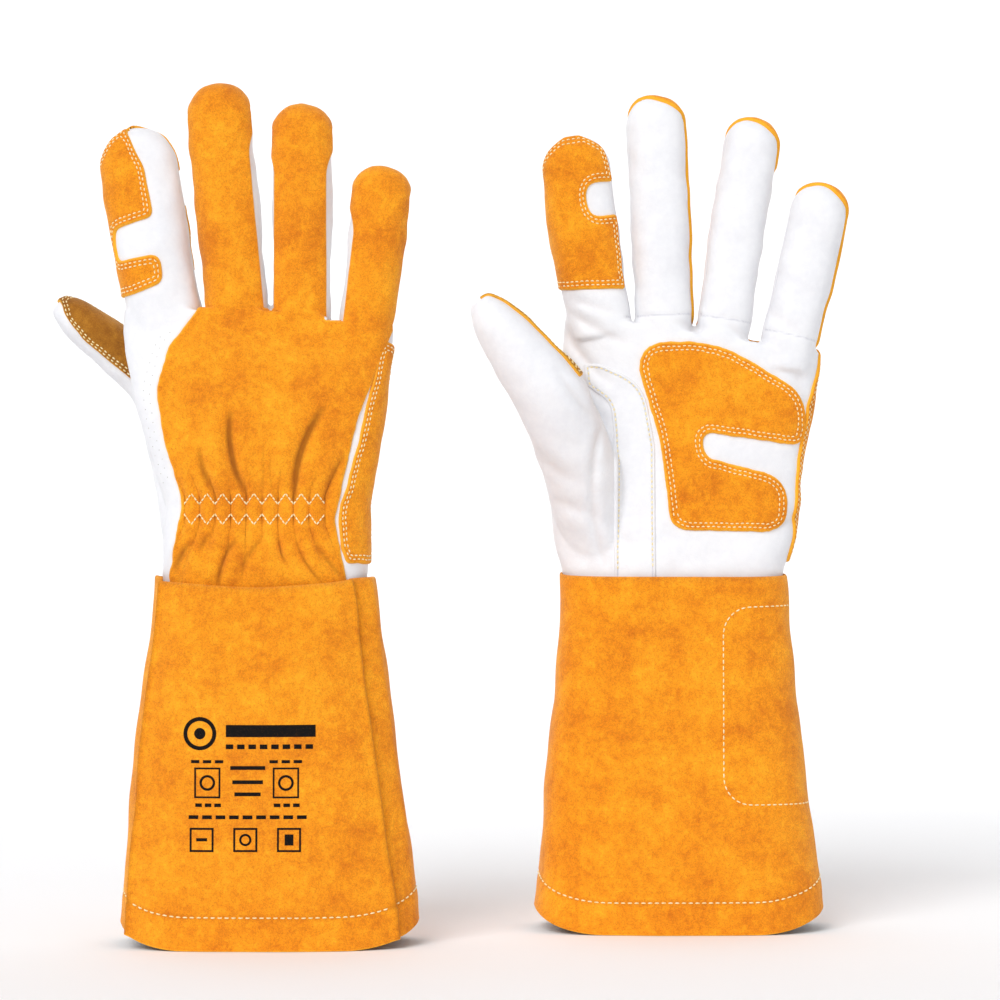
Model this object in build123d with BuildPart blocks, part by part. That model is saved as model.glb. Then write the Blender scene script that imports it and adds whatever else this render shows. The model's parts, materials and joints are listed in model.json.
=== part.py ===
from build123d import *
from collections import namedtuple
from dataclasses import dataclass
from math import cos, radians, sin
import os

# A pair of size 10 gauntlet welding gloves standing upright on their cuffs, in millimetres.
# +Z runs up the gloves from the hems to the fingertips, +X across the pair, +Y from front to back.
# The right-hand glove stands in front with the back of its hand to -Y. The left-hand glove stands
# beside and behind it with its palm to -Y. The origin is on the floor, in the middle of the pair.
#
# Each glove also has measures of its own: x from the middle of its hem, with the thumb at -x,
# and y from the skin of the palm, at 0, towards the back of the hand.

os.makedirs("parts", exist_ok=True)

# Sheet thicknesses, and how far each layer lies inside the outer skin
LEATHER = 1.4
HEM_FOLD = 1.2
VEIN_PATCH = (1.5, 2.7)
ELASTIC = (1.45, 2.35)
HAND_LINING = (2.4, 3.2)
CUFF_LINING = (2.8, 3.6)
FINGER_LINING = (1.5, 2.3)
HINGE_GAP = 0.25      # half of the slit left at the base of each finger
OPEN_END = 1.0        # how far a hollow runs past the open end of its skin

# Cuff
CUFF_CENTRE_Y = 18.5
CUFF_TOP = 170.0
CUFF_CORNER = 0.42    # corner radius of a section over its depth
HEM_FLAT = 35.0       # half of the straight stretch that stands on the floor
HEM_HALF = 72.0
HEM_RISE = 14.0
HEM_DEPTH = 17.0
LINING_BOTTOM, LINING_TOP = 20.0, 156.0

# Hand and digits
HAND_CORNER = 0.44
SEAM_Y = 17.0         # the back panels lie behind this depth, the palm leather in front of it
FINGER_DEPTH = 26.0
FINGER_EDGE = 10.0    # rounding of a finger's long edges
FRONT_SEAM, BACK_SEAM = 0.35, 0.62   # finger seams, as parts of the depth from the palm side
TIP_ZONE = 9.0        # how far the back leather wraps down over the fingertip
THUMB_DEPTH = 27.0
THUMB_SKIN = -30.0    # the thumb stands in front of the palm
THENAR_Y = (7.0, -4.0)          # middle depth of the swelling's lower and upper sections
THENAR_CORNER = (5.0, 12.0)

Section = namedtuple("Section", "height middle width depth")


@dataclass
class Digit:
    """A finger or the thumb, on a base line centred at (x, z) and leaning lean degrees to +x."""
    name: str
    x: float
    z: float
    lean: float
    width: float
    length: float
    depth: float = FINGER_DEPTH
    skin: float = 0.0

    def point(self, across, along):
        """The glove's x and z of a point of the digit."""
        a = radians(self.lean)
        return (self.x + across * cos(a) + along * sin(a), self.z - across * sin(a) + along * cos(a))


@dataclass
class Glove:
    """One glove: its place, which way the back of its hand faces, and its own outlines."""
    hand: str
    back: int
    x: float
    y: float
    cuff: list
    palm: list
    thenar: list
    thumb: Digit
    fingers: list
    cuff_seams: tuple
    back_seams: tuple
    wing_seam: tuple
    side_edge: tuple
    patch_scale: float
    patch_shift: float
    strip_shift: float

    def spot(self, x, y, z):
        """A point of the pair from the glove's own measures."""
        return (self.x + x, self.y + self.back * (y - CUFF_CENTRE_Y), z)

    def upright(self, y):
        """The plane at depth y, with x across the glove and y up it."""
        return Plane(origin=self.spot(0, y, 0), x_dir=(1, 0, 0), z_dir=(0, -1, 0))

    def backward(self):
        return (0, self.back, 0)


right = Glove(
    hand="right", back=-1, x=-83.26, y=-29.0,
    cuff=[Section(0, 0, 141, 66), Section(90, -1, 123, 58), Section(CUFF_TOP, -2, 103.5, 52)],
    palm=[Section(162, -2, 90, 36), Section(204, -1, 94, 36), Section(232, -3, 108, 35),
          Section(256, -5, 118, 34), Section(288, -5.5, 128, 31), Section(310, -5.5, 130, 30)],
    thenar=[Section(178, -34, 28, 12), Section(215, -40, 29, 30)],
    thumb=Digit("thumb", -55.1, 261.8, -52, 27, 62, THUMB_DEPTH, THUMB_SKIN),
    fingers=[Digit("index", -50.5, 302, -10, 36, 80), Digit("middle", -15.5, 302, -5.4, 30, 98.4),
             Digit("ring", 15, 301, 0, 28.5, 90.1), Digit("little", 45.5, 293, 6.5, 26.5, 69.2)],
    cuff_seams=((-67, 0), (-49.6, CUFF_TOP), (38.5, CUFF_TOP), (62, 0)),
    back_seams=(((-43, 160), (-40, 206), (-50, 240), (-52, 258), (-30, 306)),
                ((59, 312), (58.5, 290), (48, 244), (32, 195), (38.5, 160))),
    wing_seam=((-26, 160), (-26, 235), (-42, 275), (-95, 275), (-95, 160)),
    side_edge=((38.5, 176), (34, 188), (34, 198), (40, 222), (54, 279), (80, 279), (80, 176)),
    patch_scale=0.92, patch_shift=-6.0, strip_shift=-4.5,
)

left = Glove(
    hand="left", back=1, x=109.94, y=29.0,
    cuff=[Section(0, 0, 142, 66), Section(88, -0.5, 124, 58), Section(110, -1, 117.5, 56),
          Section(CUFF_TOP, -2.4, 110.6, 52)],
    palm=[Section(162, -2.4, 98, 36), Section(205, -2, 121, 34), Section(232, 0, 122, 34),
          Section(256, 4, 124, 34), Section(288, 7.5, 127, 31), Section(310, 8, 127, 30)],
    thenar=[Section(178, -36, 32, 12), Section(215, -44, 34, 30)],
    thumb=Digit("thumb", -60, 252.8, -36, 31, 62, THUMB_DEPTH, THUMB_SKIN),
    fingers=[Digit("index", -39.4, 301, -8, 32.5, 81.4), Digit("middle", -7, 294.7, -2.4, 28.5, 105.4),
             Digit("ring", 22, 292.8, 8.5, 27, 97.6), Digit("little", 53.9, 285, 13, 28, 74.5)],
    cuff_seams=((-66, 0), (-50, CUFF_TOP), (40, CUFF_TOP), (63, 0)),
    back_seams=(((-44, 160), (-53, 206), (-50, 240), (-46, 258), (-22, 306)),
                ((71, 312), (70, 285), (59, 244), (46, 195), (42, 160))),
    wing_seam=((-21, 160), (-21, 235), (-38, 266), (-95, 266), (-95, 160)),
    side_edge=((44, 176), (43, 188), (44, 198), (52, 222), (62, 279), (90, 279), (90, 176)),
    patch_scale=1.0, patch_shift=0.0, strip_shift=0.0,
)


# Private solids that the pieces are cut from

def stack(glove, sections, inset, middle_y=None, overrun=0.0, corner=HAND_CORNER):
    """A closed body lofted through rounded sections, its walls moved in by inset."""
    first, last = sections[0], sections[-1]
    if overrun:
        sections = [first._replace(height=first.height - overrun), *sections,
                    last._replace(height=last.height + overrun)]
    with BuildPart(mode=Mode.PRIVATE) as body:
        for section in sections:
            centre = section.depth / 2 if middle_y is None else middle_y
            with BuildSketch(Plane(origin=glove.spot(section.middle, centre, section.height))):
                RectangleRounded(section.width - 2 * inset, section.depth - 2 * inset,
                                 corner * section.depth - inset)
        loft(ruled=True)
    return body.part


def thenar_body(glove, inset, overrun):
    """The swelling at the root of the thumb, from the wrist to the thumb's base."""
    low, high = glove.thenar
    thumb = glove.thumb
    across = Vector(cos(radians(thumb.lean)), 0, -sin(radians(thumb.lean)))
    along = Vector(sin(radians(thumb.lean)), 0, cos(radians(thumb.lean)))
    middle = thumb.skin + thumb.depth / 2
    ends = [-HINGE_GAP, overrun - HINGE_GAP] if overrun else [-HINGE_GAP]
    with BuildPart(mode=Mode.PRIVATE) as body:
        with BuildSketch(Plane(origin=glove.spot(low.middle, THENAR_Y[0], low.height))):
            RectangleRounded(low.width - 2 * inset, low.depth - 2 * inset, THENAR_CORNER[0] - inset)
        with BuildSketch(Plane(origin=glove.spot(high.middle, THENAR_Y[1], high.height))):
            RectangleRounded(high.width - 2 * inset, high.depth - 2 * inset, THENAR_CORNER[1] - inset)
        for end in ends:
            x, z = thumb.point(0, end)
            with BuildSketch(Plane(origin=glove.spot(x, middle, z), x_dir=across, z_dir=along)):
                RectangleRounded(thumb.width - 2 * inset, thumb.depth - 2 * inset, FINGER_EDGE - inset)
        loft(ruled=True)
    return body.part


def hand_body(glove, inset, overrun=0.0):
    """The hand from the wrist to the finger bases, with the swelling of the thumb."""
    with BuildPart(mode=Mode.PRIVATE) as body:
        add(stack(glove, glove.palm, inset, overrun=overrun))
        add(thenar_body(glove, inset, overrun))
    return body.part


def finger_bases(glove):
    """The outline above the hand: the slits at the finger bases, closed over the fingertips."""
    corners = [finger.point(side * finger.width / 2, -HINGE_GAP)
               for finger in glove.fingers for side in (-1, 1)]
    low_x, high_x, top = -110, 110, 430
    return [(low_x, top), (low_x, corners[0][1]), *corners, (high_x, corners[-1][1]), (high_x, top)]


def hand_layer(glove, outer, inner):
    """A skin of the hand between two insets, open at the wrist, the fingers and the thumb."""
    with BuildPart(mode=Mode.PRIVATE) as skin:
        add(hand_body(glove, outer))
        add(hand_body(glove, inner, OPEN_END), mode=Mode.SUBTRACT)
        with BuildSketch(glove.upright(CUFF_CENTRE_Y)):
            with BuildLine():
                Polyline(*finger_bases(glove), close=True)
            make_face()
        extrude(amount=60, both=True, mode=Mode.SUBTRACT)
    return skin.part


def digit_body(glove, digit, inset, start):
    """A finger with a round end and rounded long edges, from start along its length."""
    origin_x, origin_z = digit.point(0, 0)
    lean = radians(digit.lean)
    half = digit.width / 2 - inset
    shoulder = digit.length - digit.width / 2
    plane = Plane(origin=glove.spot(origin_x, digit.skin + inset, origin_z),
                  x_dir=(cos(lean), 0, -sin(lean)), z_dir=(0, -1, 0))
    with BuildPart(mode=Mode.PRIVATE) as body:
        with BuildSketch(plane):
            with BuildLine():
                Polyline((half, shoulder), (half, start), (-half, start), (-half, shoulder))
                ThreePointArc((-half, shoulder), (0, shoulder + half), (half, shoulder))
            make_face()
        extrude(amount=digit.depth - 2 * inset, dir=glove.backward())
        length_axis = Axis(plane.origin, plane.y_dir)
        rims = body.edges().filter_by(Axis.Y, reverse=True).sort_by(length_axis)
        fillet(rims[2:], radius=FINGER_EDGE - inset)
    return body.part


def digit_layer(glove, digit, outer, inner):
    """The skin of a digit between two insets, closed at its tip and open at its base."""
    with BuildPart(mode=Mode.PRIVATE) as skin:
        add(digit_body(glove, digit, outer, HINGE_GAP))
        add(digit_body(glove, digit, inner, -OPEN_END), mode=Mode.SUBTRACT)
    return skin.part


def digit_block(glove, digit, outline, near, far):
    """A block over an outline in the digit's own plane, between two depths of the digit."""
    x, z = digit.point(0, 0)
    lean = radians(digit.lean)
    plane = Plane(origin=glove.spot(x, digit.skin + near, z), x_dir=(cos(lean), 0, -sin(lean)),
                  z_dir=(0, -1, 0))
    with BuildPart(mode=Mode.PRIVATE) as block:
        with BuildSketch(plane):
            with BuildLine():
                Polyline(*outline, close=True)
            make_face()
        extrude(amount=far - near, dir=glove.backward())
    return block.part


def hand_block(glove, outline, near, far):
    """A block over an outline in the glove's own x and z, between two depths."""
    with BuildPart(mode=Mode.PRIVATE) as block:
        with BuildSketch(glove.upright(near)):
            with BuildLine():
                Polyline(*outline, close=True)
            make_face()
        extrude(amount=far - near, dir=glove.backward())
    return block.part


def below_hem(glove, lift):
    """The space under the hem's curve, raised by lift: flat in the middle and rising to the sides."""
    bend_x, bend_z = (HEM_FLAT + HEM_HALF) / 2, HEM_RISE * 0.27
    with BuildPart(mode=Mode.PRIVATE) as space:
        with BuildSketch(glove.upright(CUFF_CENTRE_Y)):
            with BuildLine():
                Line((-HEM_FLAT, lift), (HEM_FLAT, lift))
                ThreePointArc((HEM_FLAT, lift), (bend_x, lift + bend_z), (HEM_HALF, lift + HEM_RISE))
                Polyline((HEM_HALF, lift + HEM_RISE), (HEM_HALF, -20), (-HEM_HALF, -20),
                         (-HEM_HALF, lift + HEM_RISE))
                ThreePointArc((-HEM_HALF, lift + HEM_RISE), (-bend_x, lift + bend_z), (-HEM_FLAT, lift))
            make_face()
        extrude(amount=60, both=True)
    return space.part


def save(glove, name, piece):
    """Name a finished piece and write it."""
    piece.part.label = f"{glove.hand}_{name}"
    export_step(piece.part, f"parts/{glove.hand}_{name}.step")


# The pieces

def make_cuff(glove):
    """The gauntlet: two leather panels with a turned hem, a vein patch inside and a cotton lining."""
    outer = stack(glove, glove.cuff, 0, CUFF_CENTRE_Y, corner=CUFF_CORNER)
    hollow = stack(glove, glove.cuff, LEATHER, CUFF_CENTRE_Y, OPEN_END, CUFF_CORNER)
    hem_hollow = stack(glove, glove.cuff, LEATHER + HEM_FOLD, CUFF_CENTRE_Y, OPEN_END, CUFF_CORNER)
    seams = list(glove.cuff_seams)
    back_region = hand_block(glove, seams, CUFF_CENTRE_Y, CUFF_CENTRE_Y + 60)

    with BuildPart(mode=Mode.PRIVATE) as hem:
        add(outer)
        add(hem_hollow, mode=Mode.SUBTRACT)
        add(below_hem(glove, HEM_DEPTH), mode=Mode.INTERSECT)
    with BuildPart(mode=Mode.PRIVATE) as leather:
        add(outer)
        add(hollow, mode=Mode.SUBTRACT)
        add(hem.part)
        add(below_hem(glove, 0), mode=Mode.SUBTRACT)

    with BuildPart() as cuff_back_panel:
        add(leather.part)
        add(back_region, mode=Mode.INTERSECT)
    save(glove, "cuff_back_panel", cuff_back_panel)

    with BuildPart() as cuff_palm_panel:
        add(leather.part)
        add(back_region, mode=Mode.SUBTRACT)
    save(glove, "cuff_palm_panel", cuff_palm_panel)

    with BuildPart() as vein_patch:
        add(stack(glove, glove.cuff, VEIN_PATCH[0], CUFF_CENTRE_Y, corner=CUFF_CORNER))
        add(stack(glove, glove.cuff, VEIN_PATCH[1], CUFF_CENTRE_Y, OPEN_END, CUFF_CORNER),
            mode=Mode.SUBTRACT)
        with BuildSketch(glove.upright(CUFF_CENTRE_Y)):
            with BuildLine():
                FilletPolyline((70, 61.8), (20.5, 61.8), (20.5, 155), (70, 157), radius=[14, 14])
                Line((70, 157), (70, 61.8))
            make_face()
        extrude(amount=60, dir=(0, -glove.back, 0), mode=Mode.INTERSECT)
    save(glove, "vein_patch", vein_patch)

    with BuildPart() as cuff_lining:
        add(stack(glove, glove.cuff, CUFF_LINING[0], CUFF_CENTRE_Y, corner=CUFF_CORNER))
        add(stack(glove, glove.cuff, CUFF_LINING[1], CUFF_CENTRE_Y, OPEN_END, CUFF_CORNER),
            mode=Mode.SUBTRACT)
        with BuildSketch(Plane.XY.offset(LINING_BOTTOM)):
            with Locations(glove.spot(0, CUFF_CENTRE_Y, 0)[:2]):
                Rectangle(2 * HEM_HALF, 2 * HEM_HALF)
        extrude(amount=LINING_TOP - LINING_BOTTOM, mode=Mode.INTERSECT)
    save(glove, "cuff_lining", cuff_lining)


def make_hand(glove):
    """The palm, back and thumb-wing leathers, the patches sewn on them, elastic and lining."""
    leather = hand_layer(glove, 0, LEATHER)
    patch_layer = hand_layer(glove, -LEATHER, 0)
    left_seam, right_seam = glove.back_seams
    back_region = hand_block(glove, [*left_seam, *right_seam], SEAM_Y, SEAM_Y + 60)
    wing_region = hand_block(glove, glove.wing_seam, -60, SEAM_Y)

    with BuildPart() as back_panel:
        add(leather)
        add(back_region, mode=Mode.INTERSECT)
    save(glove, "back_panel", back_panel)

    with BuildPart() as thumb_wing:
        add(leather)
        add(wing_region, mode=Mode.INTERSECT)
    save(glove, "thumb_wing", thumb_wing)

    with BuildPart() as palm_panel:
        add(leather)
        add(back_region, mode=Mode.SUBTRACT)
        add(wing_region, mode=Mode.SUBTRACT)
    save(glove, "palm_panel", palm_panel)

    corners = ((-20, 283, 14), (20, 285, 30), (61, 258, 22), (60, 232, 7), (11, 238, 4.5),
               (12, 228, 4.5), (52, 217, 12), (52, 191.5, 11), (-4, 192, 8), (-9, 235, 60))
    outline = [(glove.patch_shift + glove.patch_scale * x, z) for x, z, _ in corners]
    with BuildPart() as palm_patch:
        add(patch_layer)
        with BuildSketch(glove.upright(-3)):
            with BuildLine():
                FilletPolyline(*outline, radius=[radius for _, _, radius in corners], close=True)
            make_face()
        extrude(amount=9.5, dir=glove.backward(), mode=Mode.INTERSECT)
    save(glove, "palm_patch", palm_patch)

    with BuildPart() as side_patch:
        add(patch_layer)
        add(hand_block(glove, glove.side_edge, 8.5, 60), mode=Mode.INTERSECT)
    save(glove, "side_patch", side_patch)

    shift = glove.strip_shift
    with BuildPart() as thumb_strip:
        add(patch_layer)
        with BuildSketch(glove.upright(7)):
            with BuildLine():
                Polyline((shift - 22, 266), (shift - 31.5, 245), (shift - 31, 172), (shift - 11.5, 172),
                         (shift - 11.5, 228))
                ThreePointArc((shift - 11.5, 228), (shift - 14, 250), (shift - 22, 266))
            make_face()
        extrude(amount=60, dir=(0, -glove.back, 0), mode=Mode.INTERSECT)
    save(glove, "thumb_strip", thumb_strip)

    elastic_layer = hand_layer(glove, *ELASTIC)
    with BuildPart() as wrist_elastic:
        add(elastic_layer)
        add(hand_block(glove, ((-36, 196), (-36, 208), (30, 208), (30, 196)), SEAM_Y, 60),
            mode=Mode.INTERSECT)
    save(glove, "wrist_elastic", wrist_elastic)

    with BuildPart() as hand_lining:
        add(hand_layer(glove, *HAND_LINING))
    save(glove, "hand_lining", hand_lining)


def make_seamed_finger(glove, finger):
    """A finger of back leather that wraps over the tip, front leather and two side strips."""
    leather = digit_layer(glove, finger, 0, LEATHER)
    front_y, back_y = FRONT_SEAM * finger.depth, BACK_SEAM * finger.depth
    half, end, wrap = finger.width, finger.length + 5, finger.length - TIP_ZONE
    side_region = digit_block(glove, finger, ((-half, -5), (half, -5), (half, wrap), (-half, wrap)),
                              front_y, back_y)
    back_region = digit_block(glove, finger, ((-half, -5), (half, -5), (half, end), (-half, end)),
                              front_y, finger.depth + 5)

    with BuildPart() as back:
        add(leather)
        add(back_region, mode=Mode.INTERSECT)
        add(side_region, mode=Mode.SUBTRACT)
    save(glove, f"{finger.name}_back", back)

    with BuildPart() as front:
        add(leather)
        add(back_region, mode=Mode.SUBTRACT)
    save(glove, f"{finger.name}_front", front)

    with BuildPart() as fourchettes:
        add(leather)
        add(side_region, mode=Mode.INTERSECT)
    save(glove, f"{finger.name}_fourchettes", fourchettes)


def make_index(glove, finger):
    """The index finger: one wrap of leather, and a patch with a notch for the joint on top of it."""
    with BuildPart() as index_wrap:
        add(digit_layer(glove, finger, 0, LEATHER))
    save(glove, "index_wrap", index_wrap)

    half, end = finger.width, finger.length + 5
    notch_low, notch_high, notch_end = 40, 52, -2
    base, inner_edge = 13, finger.width / 2 - 5
    outline = ((-half, base), (inner_edge, base), (inner_edge, notch_low), (notch_end, notch_low),
               (notch_end, notch_high), (inner_edge, notch_high), (inner_edge, end), (-half, end))
    with BuildPart() as index_patch:
        add(digit_layer(glove, finger, -LEATHER, 0))
        add(digit_block(glove, finger, outline, -5, finger.depth + 5), mode=Mode.INTERSECT)
    save(glove, "index_patch", index_patch)


def make_thumb(glove, thumb):
    """The thumb: one wrap of leather, with a patch on the side that faces the index finger."""
    with BuildPart() as thumb_wrap:
        add(digit_layer(glove, thumb, 0, LEATHER))
    save(glove, "thumb_wrap", thumb_wrap)

    half, end = thumb.width, thumb.length + 5
    outer_edge, base, front = 5 - thumb.width / 2, 3, 10
    outline = ((outer_edge, base), (half, base), (half, end), (outer_edge, end))
    with BuildPart() as thumb_patch:
        add(digit_layer(glove, thumb, -LEATHER, 0))
        add(digit_block(glove, thumb, outline, front, thumb.depth + 5), mode=Mode.INTERSECT)
    save(glove, "thumb_patch", thumb_patch)


def make_digit_linings(glove):
    """The knitted lining of each finger and of the thumb."""
    for digit in (glove.thumb, *glove.fingers):
        with BuildPart() as lining:
            add(digit_layer(glove, digit, *FINGER_LINING))
        save(glove, f"{digit.name}_lining", lining)


for glove in (right, left):
    make_cuff(glove)
    make_hand(glove)
    make_index(glove, glove.fingers[0])
    for finger in glove.fingers[1:]:
        make_seamed_finger(glove, finger)
    make_thumb(glove, glove.thumb)
    make_digit_linings(glove)
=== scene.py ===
import bpy
import json
import numpy as np
from math import cos, hypot, pi, radians, sin
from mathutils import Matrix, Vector
from mathutils.bvhtree import BVHTree
from mathutils.geometry import tessellate_polygon


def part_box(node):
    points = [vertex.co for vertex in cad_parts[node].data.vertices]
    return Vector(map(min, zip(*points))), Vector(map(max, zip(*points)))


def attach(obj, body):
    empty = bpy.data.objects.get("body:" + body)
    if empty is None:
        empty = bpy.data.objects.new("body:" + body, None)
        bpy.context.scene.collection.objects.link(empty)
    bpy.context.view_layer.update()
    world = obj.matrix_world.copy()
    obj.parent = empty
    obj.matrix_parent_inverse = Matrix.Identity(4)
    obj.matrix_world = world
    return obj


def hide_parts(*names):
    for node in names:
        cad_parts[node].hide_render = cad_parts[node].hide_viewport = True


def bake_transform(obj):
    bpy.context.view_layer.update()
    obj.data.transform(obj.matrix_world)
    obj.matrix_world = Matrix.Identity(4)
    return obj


# A pair of leather gauntlet welding gloves that stand on their cuffs. The right-hand glove shows
# the back of its hand and the left-hand glove its palm.
#
# Every mesh is made in a glove's own millimetres: x across it with the thumb at -x, y from the
# skin of the palm, at 0, towards the back of the hand, and z up from the floor. Glove.world turns
# those into the frame's metres. One organic skin a glove is cut into leather pieces along fields:
# numbers at each point that are 0 on a piece's edge and count millimetres inwards from it.

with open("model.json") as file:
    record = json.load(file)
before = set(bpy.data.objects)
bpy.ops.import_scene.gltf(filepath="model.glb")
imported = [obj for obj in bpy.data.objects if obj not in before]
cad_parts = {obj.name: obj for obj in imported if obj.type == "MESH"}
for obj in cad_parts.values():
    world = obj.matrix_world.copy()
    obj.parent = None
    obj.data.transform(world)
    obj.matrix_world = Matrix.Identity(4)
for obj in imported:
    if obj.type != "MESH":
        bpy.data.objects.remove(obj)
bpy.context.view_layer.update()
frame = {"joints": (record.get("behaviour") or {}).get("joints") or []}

FINGERS = ("index", "middle", "ring", "little")
SUEDE_BACKED = FINGERS[1:]   # the fingers with suede on their backs
PALM_TO_CENTRE = 18.5        # the cuff's middle, behind the skin of the palm
WRIST_X = -2.0               # the wrist's joint, beside the cuff's middle at the hem
LEATHER = 1.3                # how far sewn-on leather stands proud
WALL = 1.2                   # modelled thickness of every leather piece
EDGE_ROUND = 1.3             # how wide the rolled edge of a cut is
FAR = 50.0                   # a field's value well away from any edge or seam
VOXEL = 1.15                 # the grain of the skins
WEB = 7.0                    # how far the webs between the fingers lie below the joints
FINGER_MIDDLE = 13.0         # how deep in the glove the middles of the fingers lie
THUMB_MIDDLE, THUMB_HALF = -16.5, 14.0      # how deep the thumb's middle lies, and half its depth
HIDDEN_MARGIN = 4.0          # how far white leather runs on under the suede
SIDE_REACH, THUMB_REACH = 1.6, 7.0    # how far past its width a finger's and the thumb's skin may bulge
FRONT_SEAM = 9.0             # how deep in a finger its side strips start
SUEDE_DEPTH = 17.5           # how deep in the hand the back's suede starts
LINING, LINING_DEPTH = 0.6, 2.6       # the lining's thickness, and from the skin to it
ROWS = (2.1, 3.9)            # the two rows of a double seam, in from the edge
STRIP_ROWS = (1.7,)          # the row on each side of the strip beside the thumb
PITCH = 2.5                  # from one stitch to the next
STITCH = 1.75                # a stitch's length
THREAD = 0.33                # half of the thread's thickness
CUFF_TOP = 170.0             # where the hand's leather meets the cuff's
HAND_BOTTOM = 156.5          # the open lower end of the hand, inside the cuff
LEAST_COVER = 1.5            # where less leather than this lies over it, the lining stops
LEAST_FACES = 150            # smaller scraps join the piece beside them
GATHER = 7.25                # from one bulge of the wrist to the next
WRIST_ROWS = (197.7, 206.9)  # the middles of the two zigzag rows
ZIGZAG = 2.6                 # half of a zigzag's height
NEEDLE_ROWS = (-3.6, -6.4)   # the rows of needle holes, out from the edge of the back's suede
WRIST_BEND = (-2, 38)        # heights over the cuff's top for the ends of the wrist's bend, which bind finds but does not use
DIGIT_BEND = {"finger": 20, "thumb": 24}    # how far past its joint the end of a digit's bend lies, which bind finds but does not use
FLOOR_GAP = 0.15             # what keeps the hem off the floor
HEM_FLAT, HEM_HALF, HEM_RISE = 35.0, 72.0, 14.0     # half its flat, half its width, and its rise
HEM_SEAM = 15.5              # from the hem to its row of stitches
HEM, HEM_FOLD = 0.1, LEATHER + 1.3    # the turned hem: its share of the cuff's height, and its depth
VEIN_PATCH = (20.5, 61.8, 155.5, 13.0)      # its stitches: left, bottom, top and corner
PRINT_LIFT = 0.12            # how far the print stands off the cuff

# The wall of a cuff's panel, from the top down its inside and up its outside, as cuff_sheet reads it
CUFF_LAYERS = ((LEATHER, 1.0, HEM), (HEM_FOLD, HEM - 0.006, 0.004), (HEM_FOLD * 0.5, 0.0, 0.0),
               (0.35, 0.0008, 0.0008), (0.0, 0.005, 0.97), (0.1, 0.995, 0.995), (0.6, 1.0, 1.0))
# The lining's wall, up its outside and down its inside
CUFF_LINING = ((3.1, 0.08, 0.97), (3.7, 0.97, 0.08))
# The panels: from and to round the cuff, columns, width, and how far and widely their upright edges
# are lifted (or pressed in)
CUFF_PANELS = (("cuff_back_panel", 0.0, 1.0, 150, 125, 1.0, 1.6),
               ("cuff_palm_panel", 1.0, 2.0, 300, 200, -1.2, 2.5))


# Numbers

def smooth(low, high, value):
    """0 up to low, 1 from high on, and a soft step between."""
    t = np.clip((value - low) / (high - low), 0, 1)
    return t * t * (3 - 2 * t)


def hump(value, middle, width):
    """A bell that is 1 at its middle."""
    return np.exp(-((value - middle) / width) ** 2)


def at_height(table, z):
    """The other columns of a table at the height z, which its first column counts."""
    table = np.array(table, float)
    return [np.interp(z, table[:, 0], column) for column in table.T[1:]]


def grid(rows, columns, closed=False):
    """The triangles of a grid of points, where the last row may join the first."""
    a = (np.arange(rows if closed else rows - 1)[:, None] * columns + np.arange(columns - 1)).reshape(-1)
    b = (a + columns) % (rows * columns)
    return np.concatenate([np.stack([a, a + 1, b + 1], 1), np.stack([a, b + 1, b], 1)])


class Waves:
    """Smooth noise of about one wavelength, from a sum of seeded plane waves."""

    def __init__(self, seed, scale, count=16):
        rng = np.random.default_rng(seed)
        way = rng.normal(size=(count, 3))
        way /= np.linalg.norm(way, axis=1, keepdims=True)
        self.wave = way * 2 * pi / (scale * rng.uniform(0.7, 1.5, (count, 1)))
        self.phase = rng.uniform(0, 2 * pi, count)

    def __call__(self, points):
        return 3 * np.sin(points @ self.wave.T + self.phase).mean(1)


def rounded(corners):
    """A closed outline through (x, y, radius) corners, its corners turned by arcs."""
    points = []
    count = len(corners)
    for i, (x, y, radius) in enumerate(corners):
        here = np.array((x, y), float)
        back = np.array(corners[i - 1][:2], float) - here
        ahead = np.array(corners[(i + 1) % count][:2], float) - here
        length_back, length_ahead = np.linalg.norm(back), np.linalg.norm(ahead)
        back, ahead = back / length_back, ahead / length_ahead
        half = np.arccos(np.clip(back @ ahead, -1, 1)) / 2
        reach = min(radius / np.tan(half), 0.48 * length_back, 0.48 * length_ahead)
        start, end = here + back * reach, here + ahead * reach
        for t in np.linspace(0, 1, 7):
            points.append((1 - t) ** 2 * start + 2 * t * (1 - t) * here + t ** 2 * end)
    return np.array(points)


def inside(points, outline):
    """How far each 2-D point lies inside a closed outline, and outside when negative."""
    best = np.full(len(points), 1e9)
    crossings = np.zeros(len(points), int)
    for a, b in zip(outline, np.roll(outline, -1, 0)):
        edge = b - a
        t = np.clip((points - a) @ edge / max(edge @ edge, 1e-12), 0, 1)
        best = np.minimum(best, np.hypot(*(points - a - t[:, None] * edge).T))
        straddles = (a[1] > points[:, 1]) != (b[1] > points[:, 1])
        if b[1] != a[1]:
            crossings += straddles & (points[:, 0] < a[0] + (points[:, 1] - a[1]) * edge[0] / edge[1])
    return np.where(crossings % 2 == 1, best, -best)


def to_line(points, line):
    """The distance from 2-D points to an open line, and how far along it they lie, from 0 to 1."""
    best, where = np.full(len(points), 1e9), np.zeros(len(points))
    for i, (a, b) in enumerate(zip(line[:-1], line[1:])):
        edge = b - a
        t = np.clip((points - a) @ edge / (edge @ edge), 0, 1)
        far = np.hypot(*(points - a - t[:, None] * edge).T)
        where = np.where(far < best, (i + t) / (len(line) - 1), where)
        best = np.minimum(best, far)
    return best, where


# Skins: triangles with named numbers at their points

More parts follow.
